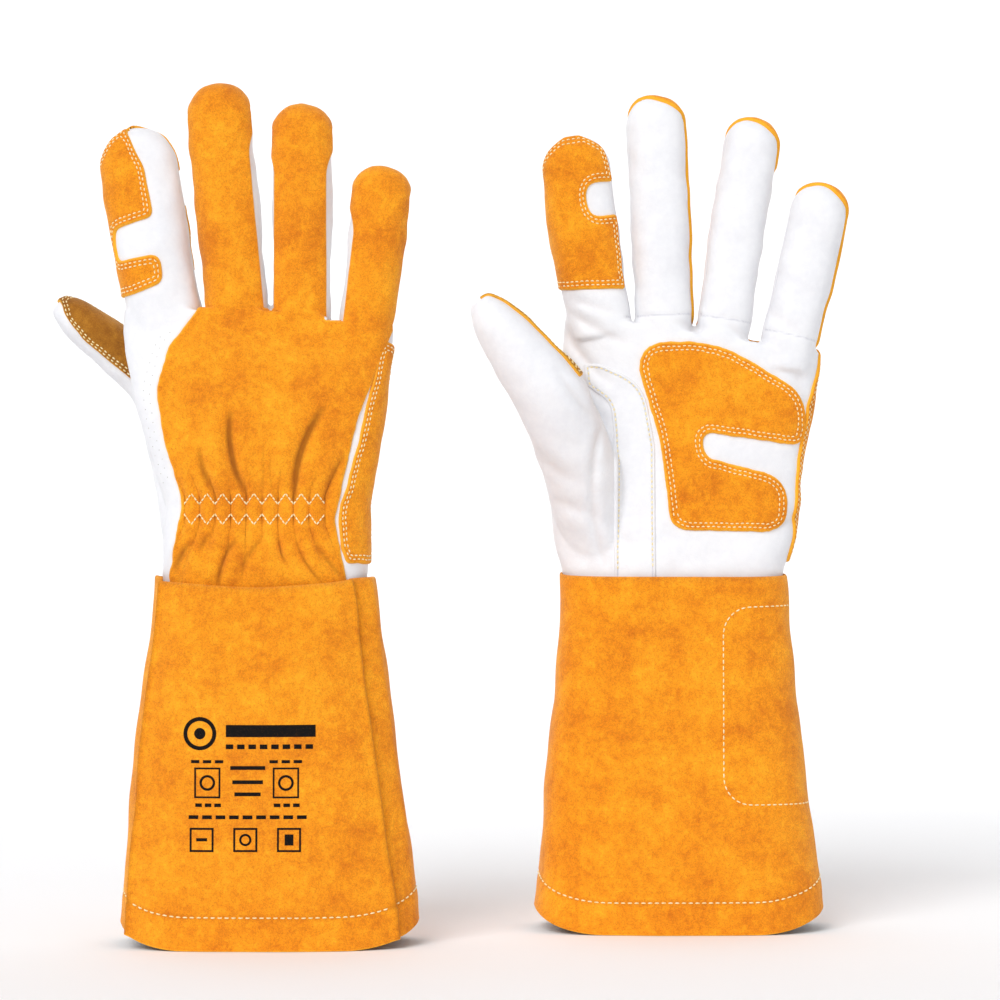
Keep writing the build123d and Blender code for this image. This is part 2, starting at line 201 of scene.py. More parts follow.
class Skin:
    """Triangles whose points carry named numbers: co is where they are and no is their normals."""

    def __init__(self, faces, **data):
        self.faces, self.data = faces, data

    def copy(self):
        return Skin(self.faces.copy(), **{name: values.copy() for name, values in self.data.items()})

    def mean(self, field):
        return self.data[field][self.faces].mean(1)

    def keep(self, wanted):
        """The skin with only the wanted faces, and no unused points."""
        faces = self.faces[wanted]
        used, index = np.unique(faces, return_inverse=True)
        return Skin(index.reshape(-1, 3), **{name: values[used] for name, values in self.data.items()})

    def without_scraps(self, wanted):
        """Leaves out of a choice of faces the connected groups that are too small to be a piece."""
        faces = self.faces[wanted]
        label = np.arange(len(self.data["co"]))
        while True:
            low, joined = label[faces].min(1), label.copy()
            for corner in faces.T:
                np.minimum.at(joined, corner, low)
            joined = joined[joined]
            if (joined == label).all():
                break
            label = joined
        group = label[faces[:, 0]]
        kept = wanted.copy()
        kept[wanted] = np.bincount(group, minlength=1)[group] >= LEAST_FACES
        return kept

    def tree(self):
        return BVHTree.FromPolygons(self.data["co"].tolist(), self.faces.tolist())

    def edges(self):
        return np.concatenate([self.faces[:, [0, 1]], self.faces[:, [1, 2]], self.faces[:, [2, 0]]])

    def cut_at(self, field, levels):
        for level in levels:
            self.cut(field, level)
        return self

    def cut(self, field, level=0.0):
        """Adds points and edges where a field crosses a level."""
        s = self.data[field] - level
        s = np.where(np.abs(s) < 1e-3, 1e-3, s)
        above = s > 0
        count = above[self.faces].sum(1)
        crossed = (count == 1) | (count == 2)
        if not crossed.any():
            return self
        t = self.faces[crossed]
        alone = above[t] == (above[t].sum(1) == 1)[:, None]
        t = np.take_along_axis(t, (alone.argmax(1)[:, None] + np.arange(3)) % 3, 1)
        a, b, c = t.T
        pairs = np.sort(np.concatenate([np.stack([a, b], 1), np.stack([a, c], 1)]), 1)
        ends, index = np.unique(pairs, axis=0, return_inverse=True)
        index = index.reshape(-1) + len(s)
        w = s[ends[:, 0]] / (s[ends[:, 0]] - s[ends[:, 1]])
        for name, values in self.data.items():
            share = w if values.ndim == 1 else w[:, None]
            added = values[ends[:, 0]] * (1 - share) + values[ends[:, 1]] * share
            self.data[name] = np.concatenate([values, added])
        ab, ac = index[: len(t)], index[len(t):]
        self.faces = np.concatenate([self.faces[~crossed], np.stack([a, ab, ac], 1),
                                     np.stack([ab, b, c], 1), np.stack([ab, c, ac], 1)])
        return self

    def above(self, field, level=0.0):
        self.cut(field, level)
        return self.keep(self.mean(field) > level)

    def below(self, field, level=0.0):
        self.cut(field, level)
        return self.keep(self.mean(field) < level)

    def find_normals(self):
        co = self.data["co"]
        a, b, c = (co[self.faces[:, i]] for i in range(3))
        face = np.cross(b - a, c - a)
        normal = np.zeros_like(co)
        for i in range(3):
            for axis in range(3):
                normal[:, axis] += np.bincount(self.faces[:, i], face[:, axis], len(co))
        length = np.linalg.norm(normal, axis=1, keepdims=True)
        self.data["no"] = normal / np.maximum(length, 1e-12)
        return self

    def swell(self, amount):
        self.data["co"] = self.data["co"] + self.data["no"] * np.asarray(amount).reshape(-1, 1)
        return self

    def relax(self, rounds, strength=0.5, keep=0.53):
        """Smooths the points without shrinking the skin."""
        edges = np.concatenate([self.edges(), self.edges()[:, ::-1]])
        size = len(self.data["co"])
        degree = np.maximum(np.bincount(edges[:, 0], minlength=size), 1)
        for _ in range(rounds):
            for factor in (strength, -keep):
                co = self.data["co"]
                around = np.stack([np.bincount(edges[:, 0], co[edges[:, 1], i], size) for i in range(3)], 1)
                self.data["co"] = co + factor * (around / degree[:, None] - co)
        return self

    def isolines(self, field, level):
        """The lines on the skin where a field has a level: lists of (point, normal) pairs."""
        s = self.data[field] - level
        s = np.where(np.abs(s) < 1e-4, 1e-4, s)
        above = s > 0
        count = above[self.faces].sum(1)
        links, places = {}, {}
        for face in self.faces[(count == 1) | (count == 2)]:
            ends = []
            for a, b in ((face[0], face[1]), (face[1], face[2]), (face[2], face[0])):
                if above[a] != above[b]:
                    key = (min(a, b), max(a, b))
                    if key not in places:
                        w = s[key[0]] / (s[key[0]] - s[key[1]])
                        places[key] = [self.data[name][key[0]] * (1 - w) + self.data[name][key[1]] * w
                                       for name in ("co", "no")]
                    ends.append(key)
            for one, other in (ends, ends[::-1]):
                links.setdefault(one, []).append(other)
        lines, seen = [], set()
        for start in sorted(links, key=lambda key: (len(links[key]) != 1, key)):
            if start in seen:
                continue
            line, here = [start], start
            seen.add(start)
            while True:
                ahead = [key for key in links[here] if key not in seen]
                if not ahead:
                    break
                here = ahead[0]
                seen.add(here)
                line.append(here)
            if len(links[line[-1]]) == 2 and len(line) > 3 and start in links[line[-1]]:
                line.append(start)
            lines.append([places[key] for key in line])
        return lines


# The gloves

class Digit:
    """A finger or the thumb, placed by its joint in the frame."""

    def __init__(self, glove, name, width, length, depth):
        joint = next(j for j in frame["joints"] if j["name"] == f"{glove.hand}_{name}_bend")
        x, y, z = (1000 * value for value in joint["pos_m"])
        self.name, self.width, self.length, self.depth = name, width, length, depth
        self.x, self.z = x - glove.x, z
        self.skin = (y - glove.y) * glove.back + PALM_TO_CENTRE
        self.lean = np.arctan2(-joint["axis"][2] * glove.back, joint["axis"][0] * glove.back)

    def measure(self, co):
        """Across and along the digit, for each point."""
        dx, dz = co[:, 0] - self.x, co[:, 2] - self.z
        return dx * cos(self.lean) - dz * sin(self.lean), dx * sin(self.lean) + dz * cos(self.lean)

    def point(self, across, along):
        return (self.x + across * cos(self.lean) + along * sin(self.lean),
                self.z - across * sin(self.lean) + along * cos(self.lean))


class Glove:
    def __init__(self, hand, shape):
        self.hand = hand
        low, high = (Vector(corner) * 1000 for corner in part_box(f"{hand}_cuff_palm_panel"))
        back_low, back_high = (Vector(corner) * 1000 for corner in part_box(f"{hand}_cuff_back_panel"))
        joint = next(j for j in frame["joints"] if j["name"] == f"{hand}_wrist")
        self.back = 1 if joint["axis"][0] > 0 else -1
        self.x = 1000 * joint["pos_m"][0] - WRIST_X
        self.y = (min(low.y, back_low.y) + max(high.y, back_high.y)) / 2
        self.shape = shape
        self.digits = {name: Digit(self, name, *size) for name, size in shape["digits"].items()}

    def world(self, co):
        """Metres in the frame from the glove's own millimetres."""
        co = np.asarray(co, float)
        return np.stack([self.x + co[:, 0], self.y + self.back * (co[:, 1] - PALM_TO_CENTRE),
                         co[:, 2]], 1) / 1000

    def turn(self, vectors):
        return np.asarray(vectors) * (1, self.back, 1)

    def spot(self, x, y, z):
        return tuple(self.world([(x, y, z)])[0])


# Widths, lengths and depths of the digits, and the hand's sections: height, middle, width and the
# depths of its palm and back. The thumb's path is x, y, z, half its width and half its depth.
RIGHT = {
    "digits": {"index": (36, 80, 26), "middle": (30, 98.4, 26), "ring": (28.5, 90.1, 26),
               "little": (26.5, 69.2, 26), "thumb": (24, 62, 27)},
    "hand": ((154, -2, 92, -2, 39), (172, -2, 94.5, -2, 38.5), (186, -1.5, 95.5, -0.5, 37.5),
             (204, -1, 94, 0, 36), (218, -2, 101, 0, 36), (232, -3, 108, 0, 35), (256, -5, 118, 0, 34),
             (284, -5, 126, 0.5, 31.5), (300, -4.8, 126, 0.5, 30)),
    "thumb": ((-31, 22, 160, 12, 18), (-34, 17, 182, 14, 17), (-38, 9, 202, 14, 15),
              (-42, -1, 222, 14, 15), (-48, -11, 243, 14, 15), (-57, -16, 262, 12.5, 14),
              (-75, -17, 277, 11, 13), (-92, -17, 290.5, 9.5, 12), (-100, -17, 297, 7.5, 9.5),
              (-104.5, -17, 300.5, 3, 4)),
    "cuff": ((0, 0, 141, 66), (90, -1, 123, 58), (CUFF_TOP, -2, 103.5, 52)),
    "cuff_seams": ((-65.5, -49.6), (61.5, 38.5)),
    "back_seams": ((-42, 150, 0), (-45.5, 172, 8), (-39.5, 206, 20), (-49, 238, 20), (-51.5, 257, 12),
                   (-46.5, 277, 20), (-31.5, 297, 10), (-50, 420, 0), (80, 420, 0), (80, 296, 0),
                   (59, 291, 6), (54, 276, 10), (41.5, 244, 40), (31.2, 197, 10), (37, 168, 6), (38, 150, 0)),
    "gaps": {"middle": (-3, 2.8), "ring": (1.8, 2.8), "little": (3.0, -3)}, "tilt": 0.0,
    "wrist": (-38.5, 30.0),
    "patch": (0.92, -6.0), "strip": -4.5, "index_low": (5, 2, 2, 9),
}
LEFT = {
    "digits": {"index": (32.5, 81.4, 26), "middle": (28.5, 105.4, 26), "ring": (27, 97.6, 26),
               "little": (28, 74.5, 26), "thumb": (31, 62, 27)},
    "hand": ((154, -2.4, 101, -3, 40), (172, -2.4, 106, -2.5, 39.5), (188, -2, 115, -0.5, 37),
             (205, -2, 119, 0, 34), (218, -1.5, 120, 0, 34), (232, 0, 121, 0, 34), (256, 4, 124, 0, 34),
             (284, 6.5, 124, 0.5, 31.5), (298, 6.5, 122, 0.5, 30)),
    "thumb": ((-32, 23, 160, 13, 19), (-36, 18, 182, 17, 18), (-42, 10, 202, 18, 17),
              (-47, 0, 221, 18, 16), (-54, -9, 240, 18, 16), (-62, -15, 256, 17.5, 15.5),
              (-73.5, -17, 271, 15, 14), (-84.5, -17, 286, 12.5, 13), (-92, -17, 296, 9.5, 10),
              (-96.5, -17, 302, 3.5, 4)),
    "cuff": ((0, 0, 142, 66), (45, -0.5, 131, 62), (88, -0.5, 124, 58), (110, -1, 117.5, 56),
             (CUFF_TOP, -2.4, 110.6, 52)),
    "cuff_seams": ((-64, -50), (62, 40)),
    "back_seams": ((-43, 150, 0), (-47, 172, 8), (-52, 206, 20), (-49, 240, 20), (-46, 258, 12),
                   (-23, 298, 10), (-34, 420, 0), (95, 420, 0), (95, 290, 0), (70, 288, 6), (64, 274, 10),
                   (53, 244, 40), (43.5, 197, 10), (42, 168, 6), (42, 150, 0)),
    "gaps": {"middle": (2.2, -3), "ring": (1.8, 2.2), "little": (2.6, -3)}, "tilt": 2.0,
    "wrist": (-46.0, 40.0),
    "patch": (1.0, 0.0), "strip": 0.0, "index_low": (8, 8, 9, 4.5),
}

# Long soft creases: from (x, z) to (x, z), how deep and how wide, in the back and in the palm
BACK_CREASES = (
    (-17, 246, -9.5, 209, 2.2, 2.6), (25, 248, 12.5, 208, 2.2, 2.8), (-5, 228, -3, 207, 1.0, 1.8),
    (3, 230, 4.5, 205, 1.0, 2.0), (-31, 230, -24, 209, 1.2, 2.4), (35, 226, 27, 207, 1.0, 2.4),
    (-26, 192, -31, 180, 1.2, 2.2), (-33, 190, -42, 174, 1.3, 2.4), (-15, 188, -22.5, 166, 1.6, 2.0),
    (-1.5, 190, -12, 173, 1.1, 2.4), (5, 190, 12, 174, 1.6, 2.1), (13, 189, 26, 168, 1.7, 2.3),
    (21.5, 190, 35, 170, 1.2, 2.4), (-10, 190, -17, 180, 0.9, 2.0),
)
PALM_CREASES = (
    (-54, 288, -34, 262, 1.6, 2.2), (-56, 276, -33, 252, 1.5, 2.4), (-52, 296, -26, 282, 1.1, 2.2),
    (-58, 268, -40, 246, 1.2, 2.6), (-50, 302, -30, 296, 0.9, 2.0), (-36, 247, -35.5, 176, 1.1, 1.8),
    (-68, 226, -48, 214, 0.9, 3.2), (-62, 208, -42, 199, 0.8, 3.0), (46, 194, 60, 200, 0.7, 2.6),
    (-2, 292, 14, 288, 0.7, 2.4), (22, 292, 34, 284, 0.7, 2.4), (-30, 196, -20, 182, 0.5, 2.4),
    (40, 300, 60, 286, 0.6, 2.6), (56, 270, 66, 246, 0.6, 3.0),
)


def tube(path, steps=64, power=2.5):
    """A closed tube of points and quads. Each step of path is a centre, two half sizes and two ways."""
    angle = np.linspace(0, 2 * pi, steps, endpoint=False)
    u = np.sign(np.cos(angle)) * np.abs(np.cos(angle)) ** (2 / power)
    v = np.sign(np.sin(angle)) * np.abs(np.sin(angle)) ** (2 / power)
    points = [np.asarray(centre) + half_u * np.outer(u, way_u) + half_v * np.outer(v, way_v)
              for centre, half_u, half_v, way_u, way_v in path]
    count = len(points)
    faces = [(i * steps + j, i * steps + (j + 1) % steps,
              (i + 1) * steps + (j + 1) % steps, (i + 1) * steps + j)
             for i in range(count - 1) for j in range(steps)]
    faces.append(tuple(range(steps))[::-1])
    faces.append(tuple((count - 1) * steps + j for j in range(steps)))
    return np.concatenate(points), faces


def hand_tube(glove):
    """The hand, cut off below the webs between the fingers."""
    table = glove.shape["hand"]
    heights = np.linspace(table[0][0], table[-1][0], 60)
    path = [((middle, (palm + back) / 2, z), width / 2, (back - palm) / 2, (1, 0, 0), (0, 1, 0))
            for z, middle, width, palm, back in zip(heights, *at_height(table, heights))]
    points, faces = tube(path, 120, 3.0)
    bases = [(glove.digits[name].x, glove.digits[name].z) for name in FINGERS]
    top = np.interp(points[:, 0], [x for x, _ in bases], [z for _, z in bases]) - WEB
    points[:, 2] = np.minimum(points[:, 2], top)
    # the back comes down to the fingers' depth over the last 26 mm
    *_, back = at_height(table, points[:, 2])
    thinnest = FINGER_MIDDLE / (back - FINGER_MIDDLE)
    thin = thinnest + (1 - thinnest) * smooth(0, 26, top - points[:, 2])
    behind = points[:, 1] - FINGER_MIDDLE
    points[:, 1] = np.where(behind > 0, FINGER_MIDDLE + behind * thin, points[:, 1])
    return points, faces


def finger_tube(digit):
    """A finger that narrows a little towards its root and its round tip."""
    root, length = -16, digit.length
    along = np.concatenate([np.linspace(root, length * 0.7, 40),
                            length - length * 0.3 * np.sin(np.linspace(0, pi / 2, 30))])
    along = np.unique(np.clip(along, root, length - 0.05))
    radius = digit.width * 0.53
    tip = np.clip((along - length + radius) / radius, 0, 1)
    half_u = digit.width / 2 - 0.9 * (1 - smooth(12, 44, along)) - 0.5 * smooth(30, length, along)
    half_u = half_u * (1 - tip ** 2.2) ** (1 / 2.15)
    half_v = (digit.depth / 2 - 2.0 * smooth(10, length, along)) * (1 - tip ** 2.4) ** (1 / 2.2)
    way = (cos(digit.lean), 0, -sin(digit.lean))
    path = []
    for s, a, b in zip(along, half_u, half_v):
        x, z = digit.point(0, s)
        curl = -1.5 * smooth(30, length, s)
        centre = (x, digit.skin + digit.depth / 2 + curl, z)
        path.append((centre, max(a, 0.3), max(b, 0.3), way, (0, 1, 0)))
    return tube(path, 64, 2.45)


def thumb_tube(glove):
    table = np.array(glove.shape["thumb"], float)
    length = np.concatenate([[0], np.cumsum(np.linalg.norm(np.diff(table[:, :3], axis=0), axis=1))])
    t = np.linspace(0, length[-1], 70)
    rows = np.stack([np.interp(t, length, table[:, i]) for i in range(5)], 1)
    reach = 5       # the path is smoothed over this many steps each way
    kernel = np.hanning(2 * reach + 1)
    kernel /= kernel.sum()
    padded = np.concatenate([np.repeat(rows[:1], reach, 0), rows, np.repeat(rows[-1:], reach, 0)])
    rows = np.stack([np.convolve(padded[:, i], kernel, "valid") for i in range(5)], 1)
    ways = np.gradient(rows[:, :3], axis=0)
    path = []
    for (x, y, z, a, b), (dx, _, dz) in zip(rows, ways):
        size = max(hypot(dx, dz), 1e-9)
        path.append(((x, y, z), a, b, (dz / size, 0, -dx / size), (0, 1, 0)))
    return tube(path, 56, 2.2)


def remesh(parts, size):
    """One skin of even triangles round overlapping closed parts."""
    points, faces, start = [], [], 0
    for co, quads in parts:
        points.append(co)
        faces += [tuple(index + start for index in quad) for quad in quads]
        start += len(co)
    mesh = bpy.data.meshes.new("scratch")
    mesh.from_pydata((np.concatenate(points) / 1000).tolist(), [], faces)
    scratch = bpy.data.objects.new("scratch", mesh)
    bpy.context.scene.collection.objects.link(scratch)
    modifier = scratch.modifiers.new("Remesh", "REMESH")
    modifier.mode = "VOXEL"
    modifier.voxel_size = size / 1000
    done = scratch.evaluated_get(bpy.context.evaluated_depsgraph_get()).to_mesh()
    done.calc_loop_triangles()
    co = np.empty(len(done.vertices) * 3)
    done.vertices.foreach_get("co", co)
    corners = np.empty(len(done.loop_triangles) * 3, int)
    done.loop_triangles.foreach_get("vertices", corners)
    bpy.data.objects.remove(scratch)
    bpy.data.meshes.remove(mesh)
    return Skin(corners.reshape(-1, 3), co=co.reshape(-1, 3) * 1000)


def unroll(outwards, from_middle, half_w, half_d):
    """How far round a digit each point lies from its outer side: + over the palm, - over the back."""
    turned = np.arctan2(np.abs(from_middle) / half_d, outwards / half_w) * 2 / pi
    return np.where(from_middle < 0, 1, -1) * turned * (half_w + half_d)


def measure_bodies(glove, data):
    """Which body a point belongs to."""
    for name, digit in glove.digits.items():
        across, along = digit.measure(data["co"])
        reach = THUMB_REACH if name == "thumb" else SIDE_REACH
        data[f"{name}_across"], data[f"{name}_along"] = across, along
        data[f"body_{name}"] = np.minimum(along, digit.width / 2 + reach - np.abs(across))
    # the thumb starts in front of the palm
    data["body_thumb"] = np.minimum(data["body_thumb"], -1.2 - data["depth"])


def measure_back(glove, data, flat, ragged):
    """The back's suede and its fingers': behind a depth, inside the seams and out of the wedges."""
    shape = glove.shape
    above_base = smooth(-5, 1, np.max([data[f"{name}_along"] for name in SUEDE_BACKED], 0))
    depth = SUEDE_DEPTH - 2 * above_base
    # beyond counts outwards from a finger's suede, and a wedge is what lies between two fingers
    wedges, last = [], None
    for name in SUEDE_BACKED:
        digit = glove.digits[name]
        across, along = data[f"{name}_across"], data[f"{name}_along"]
        tip, half = digit.length - along, digit.width / 2
        on_finger = np.abs(across) < half + SIDE_REACH
        near_tip = (1 - smooth(1, 14, tip)) * on_finger * (tip < 16)
        lopsided = shape["tilt"] * np.clip(across / half, -1, 1) * above_base * on_finger
        depth = depth - 9 * near_tip - (2 + 1.5 * near_tip) * lopsided
        full = 1 - smooth(8, 34, tip)
        left, right = (half - gap * (1 - full) + 3 * full for gap in shape["gaps"][name])
        beyond_left, beyond_right = -across - left, across - right
        wedges.append(np.minimum(beyond_left, along + 5) if last is None
                      else np.min([beyond_left, last, along + 5], 0))
        last = beyond_right
    wedges.append(np.minimum(last, along + 5))
    data["back"] = np.min([inside(flat, rounded(shape["back_seams"])) + ragged,
                           data["depth"] - depth + 0.6 * ragged, -np.max(wedges, 0),
                           -0.5 - data["body_index"]], 0)


def measure_hand(glove, data, flat, ragged):
    """The thumb's wing, the palm's patch, the strip beside the thumb and the patch on the side."""
    shape = glove.shape
    x, y, z = data["co"].T
    shift = shape["strip"]
    wing = rounded(((-130, 150, 0), (shift - 21, 150, 0), (shift - 21, 238, 20),
                    (shift - 36, 268, 6), (shift - 50, 280, 4), (-130, 276, 0)))
    data["wing"] = np.minimum(inside(flat, wing), 17 - y)

    scale, move = shape["patch"]
    patch = rounded([(move + scale * px, pz, radius) for px, pz, radius in
                     ((-24, 282, 20), (18, 282.5, 60), (61, 257, 30), (60, 232, 7), (11, 239, 8),
                      (12, 227, 8), (52, 217, 16), (52, 191, 16), (-4, 192, 10), (-9, 235, 120))])
    data["palm_patch"] = np.minimum(inside(flat, patch), 10 - y) + ragged

    strip = rounded([(shift + px, pz, radius) for px, pz, radius in
                     ((-44, 261, 1), (-33, 253, 12), (-31.5, 238, 20), (-31, 150, 0), (-11, 150, 0),
                      (-11.5, 232, 30), (-17, 262, 26), (-38, 272, 10), (-46, 271.5, 1))])
    data["thumb_strip"] = np.minimum(inside(flat, strip), 9 - y)

    # The side patch lies on a flat whose ways are round the side and up
    middle, width, palm, back = at_height(shape["hand"], z)
    past_edge = x - (middle + width / 2)
    unrolled = np.stack([back - y + np.where(y > (palm + back) / 2, past_edge, -past_edge), z], 1)
    side = rounded(((4, 281, 5), (-3, 250, 20), (-6.5, 222, 20), (-11, 198, 10), (-10, 184, 10),
                    (-5, 177, 6), (26, 176.5, 5), (27, 215, 30), (30, 256, 20), (16, 279, 8)))
    data["side_patch"] = np.minimum(inside(unrolled, side), x - 10) + ragged


def measure_digits(glove, data, ragged):
    """The patches of the index finger, open from its outer side, and of the thumb, which faces it."""
    digit = glove.digits["index"]
    half_w, half_d = digit.width / 2, digit.depth / 2
    around = unroll(-data["index_across"], data["depth"] - (digit.skin + half_d), half_w, half_d)
    wide, low = digit.width / 36, glove.shape["index_low"]
    index_patch = rounded([(px * wide, pz, radius) for px, pz, radius in
                           ((-34, low[0], 6), (-18, low[1], 12), (0, low[2], 12), (52, low[3], 1),
                            (55, 41, 1.5), (35, 40.5, 8), (35, 57, 8), (55, 56.5, 1.5), (53, 74, 6),
                            (40, 80.5, 8), (22, 80.5, 10), (11, 75, 6), (0, 66, 3), (-11, 76, 4),
                            (-19, 80.5, 4), (-28, 75, 8), (-35, 60, 14), (-35, 36, 5), (-9, 33, 12),
                            (-8, 18.5, 10), (-35, 19, 6))])
    deep = inside(np.stack([around, data["index_along"]], 1), index_patch) + 0.3 * ragged
    data["index_patch"] = np.where(data["body_index"] > -3, deep, -10)

    width, along = glove.digits["thumb"].width, data["thumb_along"]
    half_w = np.interp(along, (0, 50), (width / 2 + 1, width / 2 - 3))
    around = unroll(data["thumb_across"], data["depth"] - THUMB_MIDDLE, half_w, THUMB_HALF)
    reach = width + 10.5
    thumb_patch = rounded(((-reach, 2.5, 2), (7, 2.5, 2), (7, 40, 10), (5, 60, 5), (-12, 62, 10),
                           (-reach + 8, 54, 10), (-reach + 2, 40, 14)))
    deep = inside(np.stack([around, along], 1), thumb_patch) + ragged
    data["thumb_patch"] = np.where(data["body_thumb"] > -0.4, deep, -10)


def measure_skin(glove, skin):
    """Gives a skin every field that its pieces are cut by."""
    co, data = skin.data["co"], skin.data
    flat = co[:, [0, 2]]
    ragged = Waves(11, 9)(co) * 0.2 + Waves(12, 3.5)(co) * 0.12
    data["depth"] = co[:, 1]
    measure_bodies(glove, data)
    measure_back(glove, data, flat, ragged)
    measure_hand(glove, data, flat, ragged)
    measure_digits(glove, data, ragged)
    return skin


def crease(skin, creases, side):
    """Presses long soft creases into the back (1) or the palm (-1), with a low bulge beside each, and stores
    how deep they are for the painted shade in them.
    """
    co = skin.data["co"]
    facing = smooth(0.1, 0.5, skin.data["no"][:, 1] * side)
    total = np.zeros(len(co))
    for x0, z0, x1, z1, deep, wide in creases:
        t = np.linspace(0, 1, 11)
        line = np.stack([x0 + t * (x1 - x0) + 0.35 * t * (1 - t) * (z1 - z0), z0 + t * (z1 - z0)], 1)
        far, where = to_line(co[:, [0, 2]], line)
        taper = np.sin(pi * np.clip(0.08 + 0.86 * where, 0, 1)) ** 0.7
        groove, bulge = hump(far, 0, wide), hump(far, 2.4 * wide, 1.6 * wide)
        total -= deep * taper * (groove - 0.45 * bulge)
    # painted shade: how deep each crease is, which darkens its colour
    skin.data["fold_shade"] += np.clip(-total * facing, 0, 2)
    return skin.swell(total * facing)


def gather(skin, glove):
    """The bulges that the elastic draws up across the wrist's back, and the folds that fan out of them."""
    x, _, z = skin.data["co"].T
    left, right = glove.shape["wrist"]
    middle = (left + right) / 2
    # the elastic holds the folds upright between these heights, and they fan out past them
    held_low, held_high = 195, 209
    above, below = np.maximum(z - held_high, 0), np.maximum(held_low - z, 0)
    fanned = middle + (x - middle) / (1 + 0.014 * above + 0.012 * below)
    count = (fanned - left) / GATHER
    rng = np.random.default_rng(5)
    fade_up, fade_down = (np.interp(count, np.arange(-4, 16), rng.uniform(*reach, 20))
                          for reach in ((4, 15), (6, 20)))
    ridge = np.abs(np.sin(pi * count)) ** 0.65 - 0.6
    facing = smooth(0.2, 0.6, skin.data["no"][:, 1])
    across = smooth(left - 3, left + 2, fanned) * (1 - smooth(right - 2, right + 3, fanned))
    bulge = 2.7 * ridge * np.exp(-above / fade_up - below / fade_down)
    pinch = sum(-0.55 * hump(z, row, 1.8) for row in WRIST_ROWS)
    waist = -1.1 * hump(z, 202, 14)
    # painted shade: how deep the gathered folds are, which darkens their colour
    skin.data["fold_shade"] += np.clip(-(bulge + pinch) * facing * across, 0, 2) * 0.9
    return skin.swell(facing * across * (bulge + pinch + waist))


def glove_skin(glove):
    """The organic skin of a whole hand, with its folds."""
    parts = [hand_tube(glove), thumb_tube(glove), *(finger_tube(glove.digits[name]) for name in FINGERS)]
    skin = remesh(parts, VOXEL)
    skin = skin.keep(skin.without_scraps(np.full(len(skin.faces), True)))
    skin.relax(14).find_normals()
    co = skin.data["co"]
    skin.swell(0.55 * Waves(1, 38)(co) + 0.28 * Waves(2, 14)(co)).find_normals()
    # how deep the folds are, for the painted shade in them
    skin.data["fold_shade"] = np.zeros(len(co))
    crease(skin, BACK_CREASES, 1)
    crease(skin, PALM_CREASES, -1)
    skin.find_normals()
    gather(skin, glove)
    skin.relax(4, 0.5, 0.45).find_normals()
    skin.data["height"] = skin.data["co"][:, 2]
    return measure_skin(glove, skin.above("height", HAND_BOTTOM))


# Turning skins into pieces

MATERIALS = {}


def make_piece(glove, name, co, faces, finish, body, normals=None, fields=None, node=True):
    """A Blender object from the glove's own millimetres, which replaces the CAD node of its name."""
    mesh = bpy.data.meshes.new(f"{glove.hand}_{name}")
    faces = np.asarray(faces)
    if glove.back < 0:
        faces = faces[:, ::-1]
    mesh.from_pydata(glove.world(co).tolist(), [], faces.tolist())
    mesh.polygons.foreach_set("use_smooth", [True] * len(mesh.polygons))
    for field, values in (fields or {}).items():
        attribute = mesh.attributes.new(field, "FLOAT", "POINT")
        attribute.data.foreach_set("value", np.asarray(values, np.float32))
    mesh.materials.append(MATERIALS[finish])
    if normals is not None:
        mesh.normals_split_custom_set_from_vertices(glove.turn(normals).tolist())
    piece = bpy.data.objects.new(mesh.name, mesh)
    bpy.context.scene.collection.objects.link(piece)
    bind(glove, piece, body)
    if node:
        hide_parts(f"{glove.hand}_{name}")


def bind(glove, piece, body):
    """A piece of the cuff is attached to the cuff's body. For a piece of the hand or of a digit, the ends of
    its bend over the wrist or past the digit's base are found but not used, so nothing bends, and its place
    is baked into its mesh.
    """
    if body == "cuff":
        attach(piece, f"{glove.hand}_cuff")
    elif body == "hand":
        start, end = (glove.spot(WRIST_X, PALM_TO_CENTRE, CUFF_TOP + above) for above in WRIST_BEND)
        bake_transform(piece)
    else:
        digit = glove.digits[body]
        x, z = digit.point(0, DIGIT_BEND["thumb" if body == "thumb" else "finger"])
        start, end = glove.spot(digit.x, digit.skin, digit.z), glove.spot(x, digit.skin, z)
        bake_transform(piece)


def leather_piece(glove, name, skin, finish, body, wall=WALL, node=True):
    """A closed sheet of leather whose outer face is the skin."""
    co, normal, faces = skin.data["co"], skin.data["no"], skin.faces
    size, edges = len(co), skin.edges()
    _, index, counts = np.unique(np.sort(edges, 1), axis=0, return_inverse=True, return_counts=True)
    start, end = edges[counts[index.reshape(-1)] == 1].T
    rim = np.concatenate([np.stack([end, start, start + size], 1),
                          np.stack([end, start + size, end + size], 1)])
    # the pale cut edge, and the painted shade in folds and along seams
    fields = {field: np.tile(skin.data.get(field, np.full(size, FAR)), 2)
              for field in ("edge", "fold_shade", "seam_shade")}
    make_piece(glove, name, np.concatenate([co, co - normal * wall]),
               np.concatenate([faces, faces[:, ::-1] + size, rim]), finish, body,
               np.concatenate([normal, -normal]), fields, node)


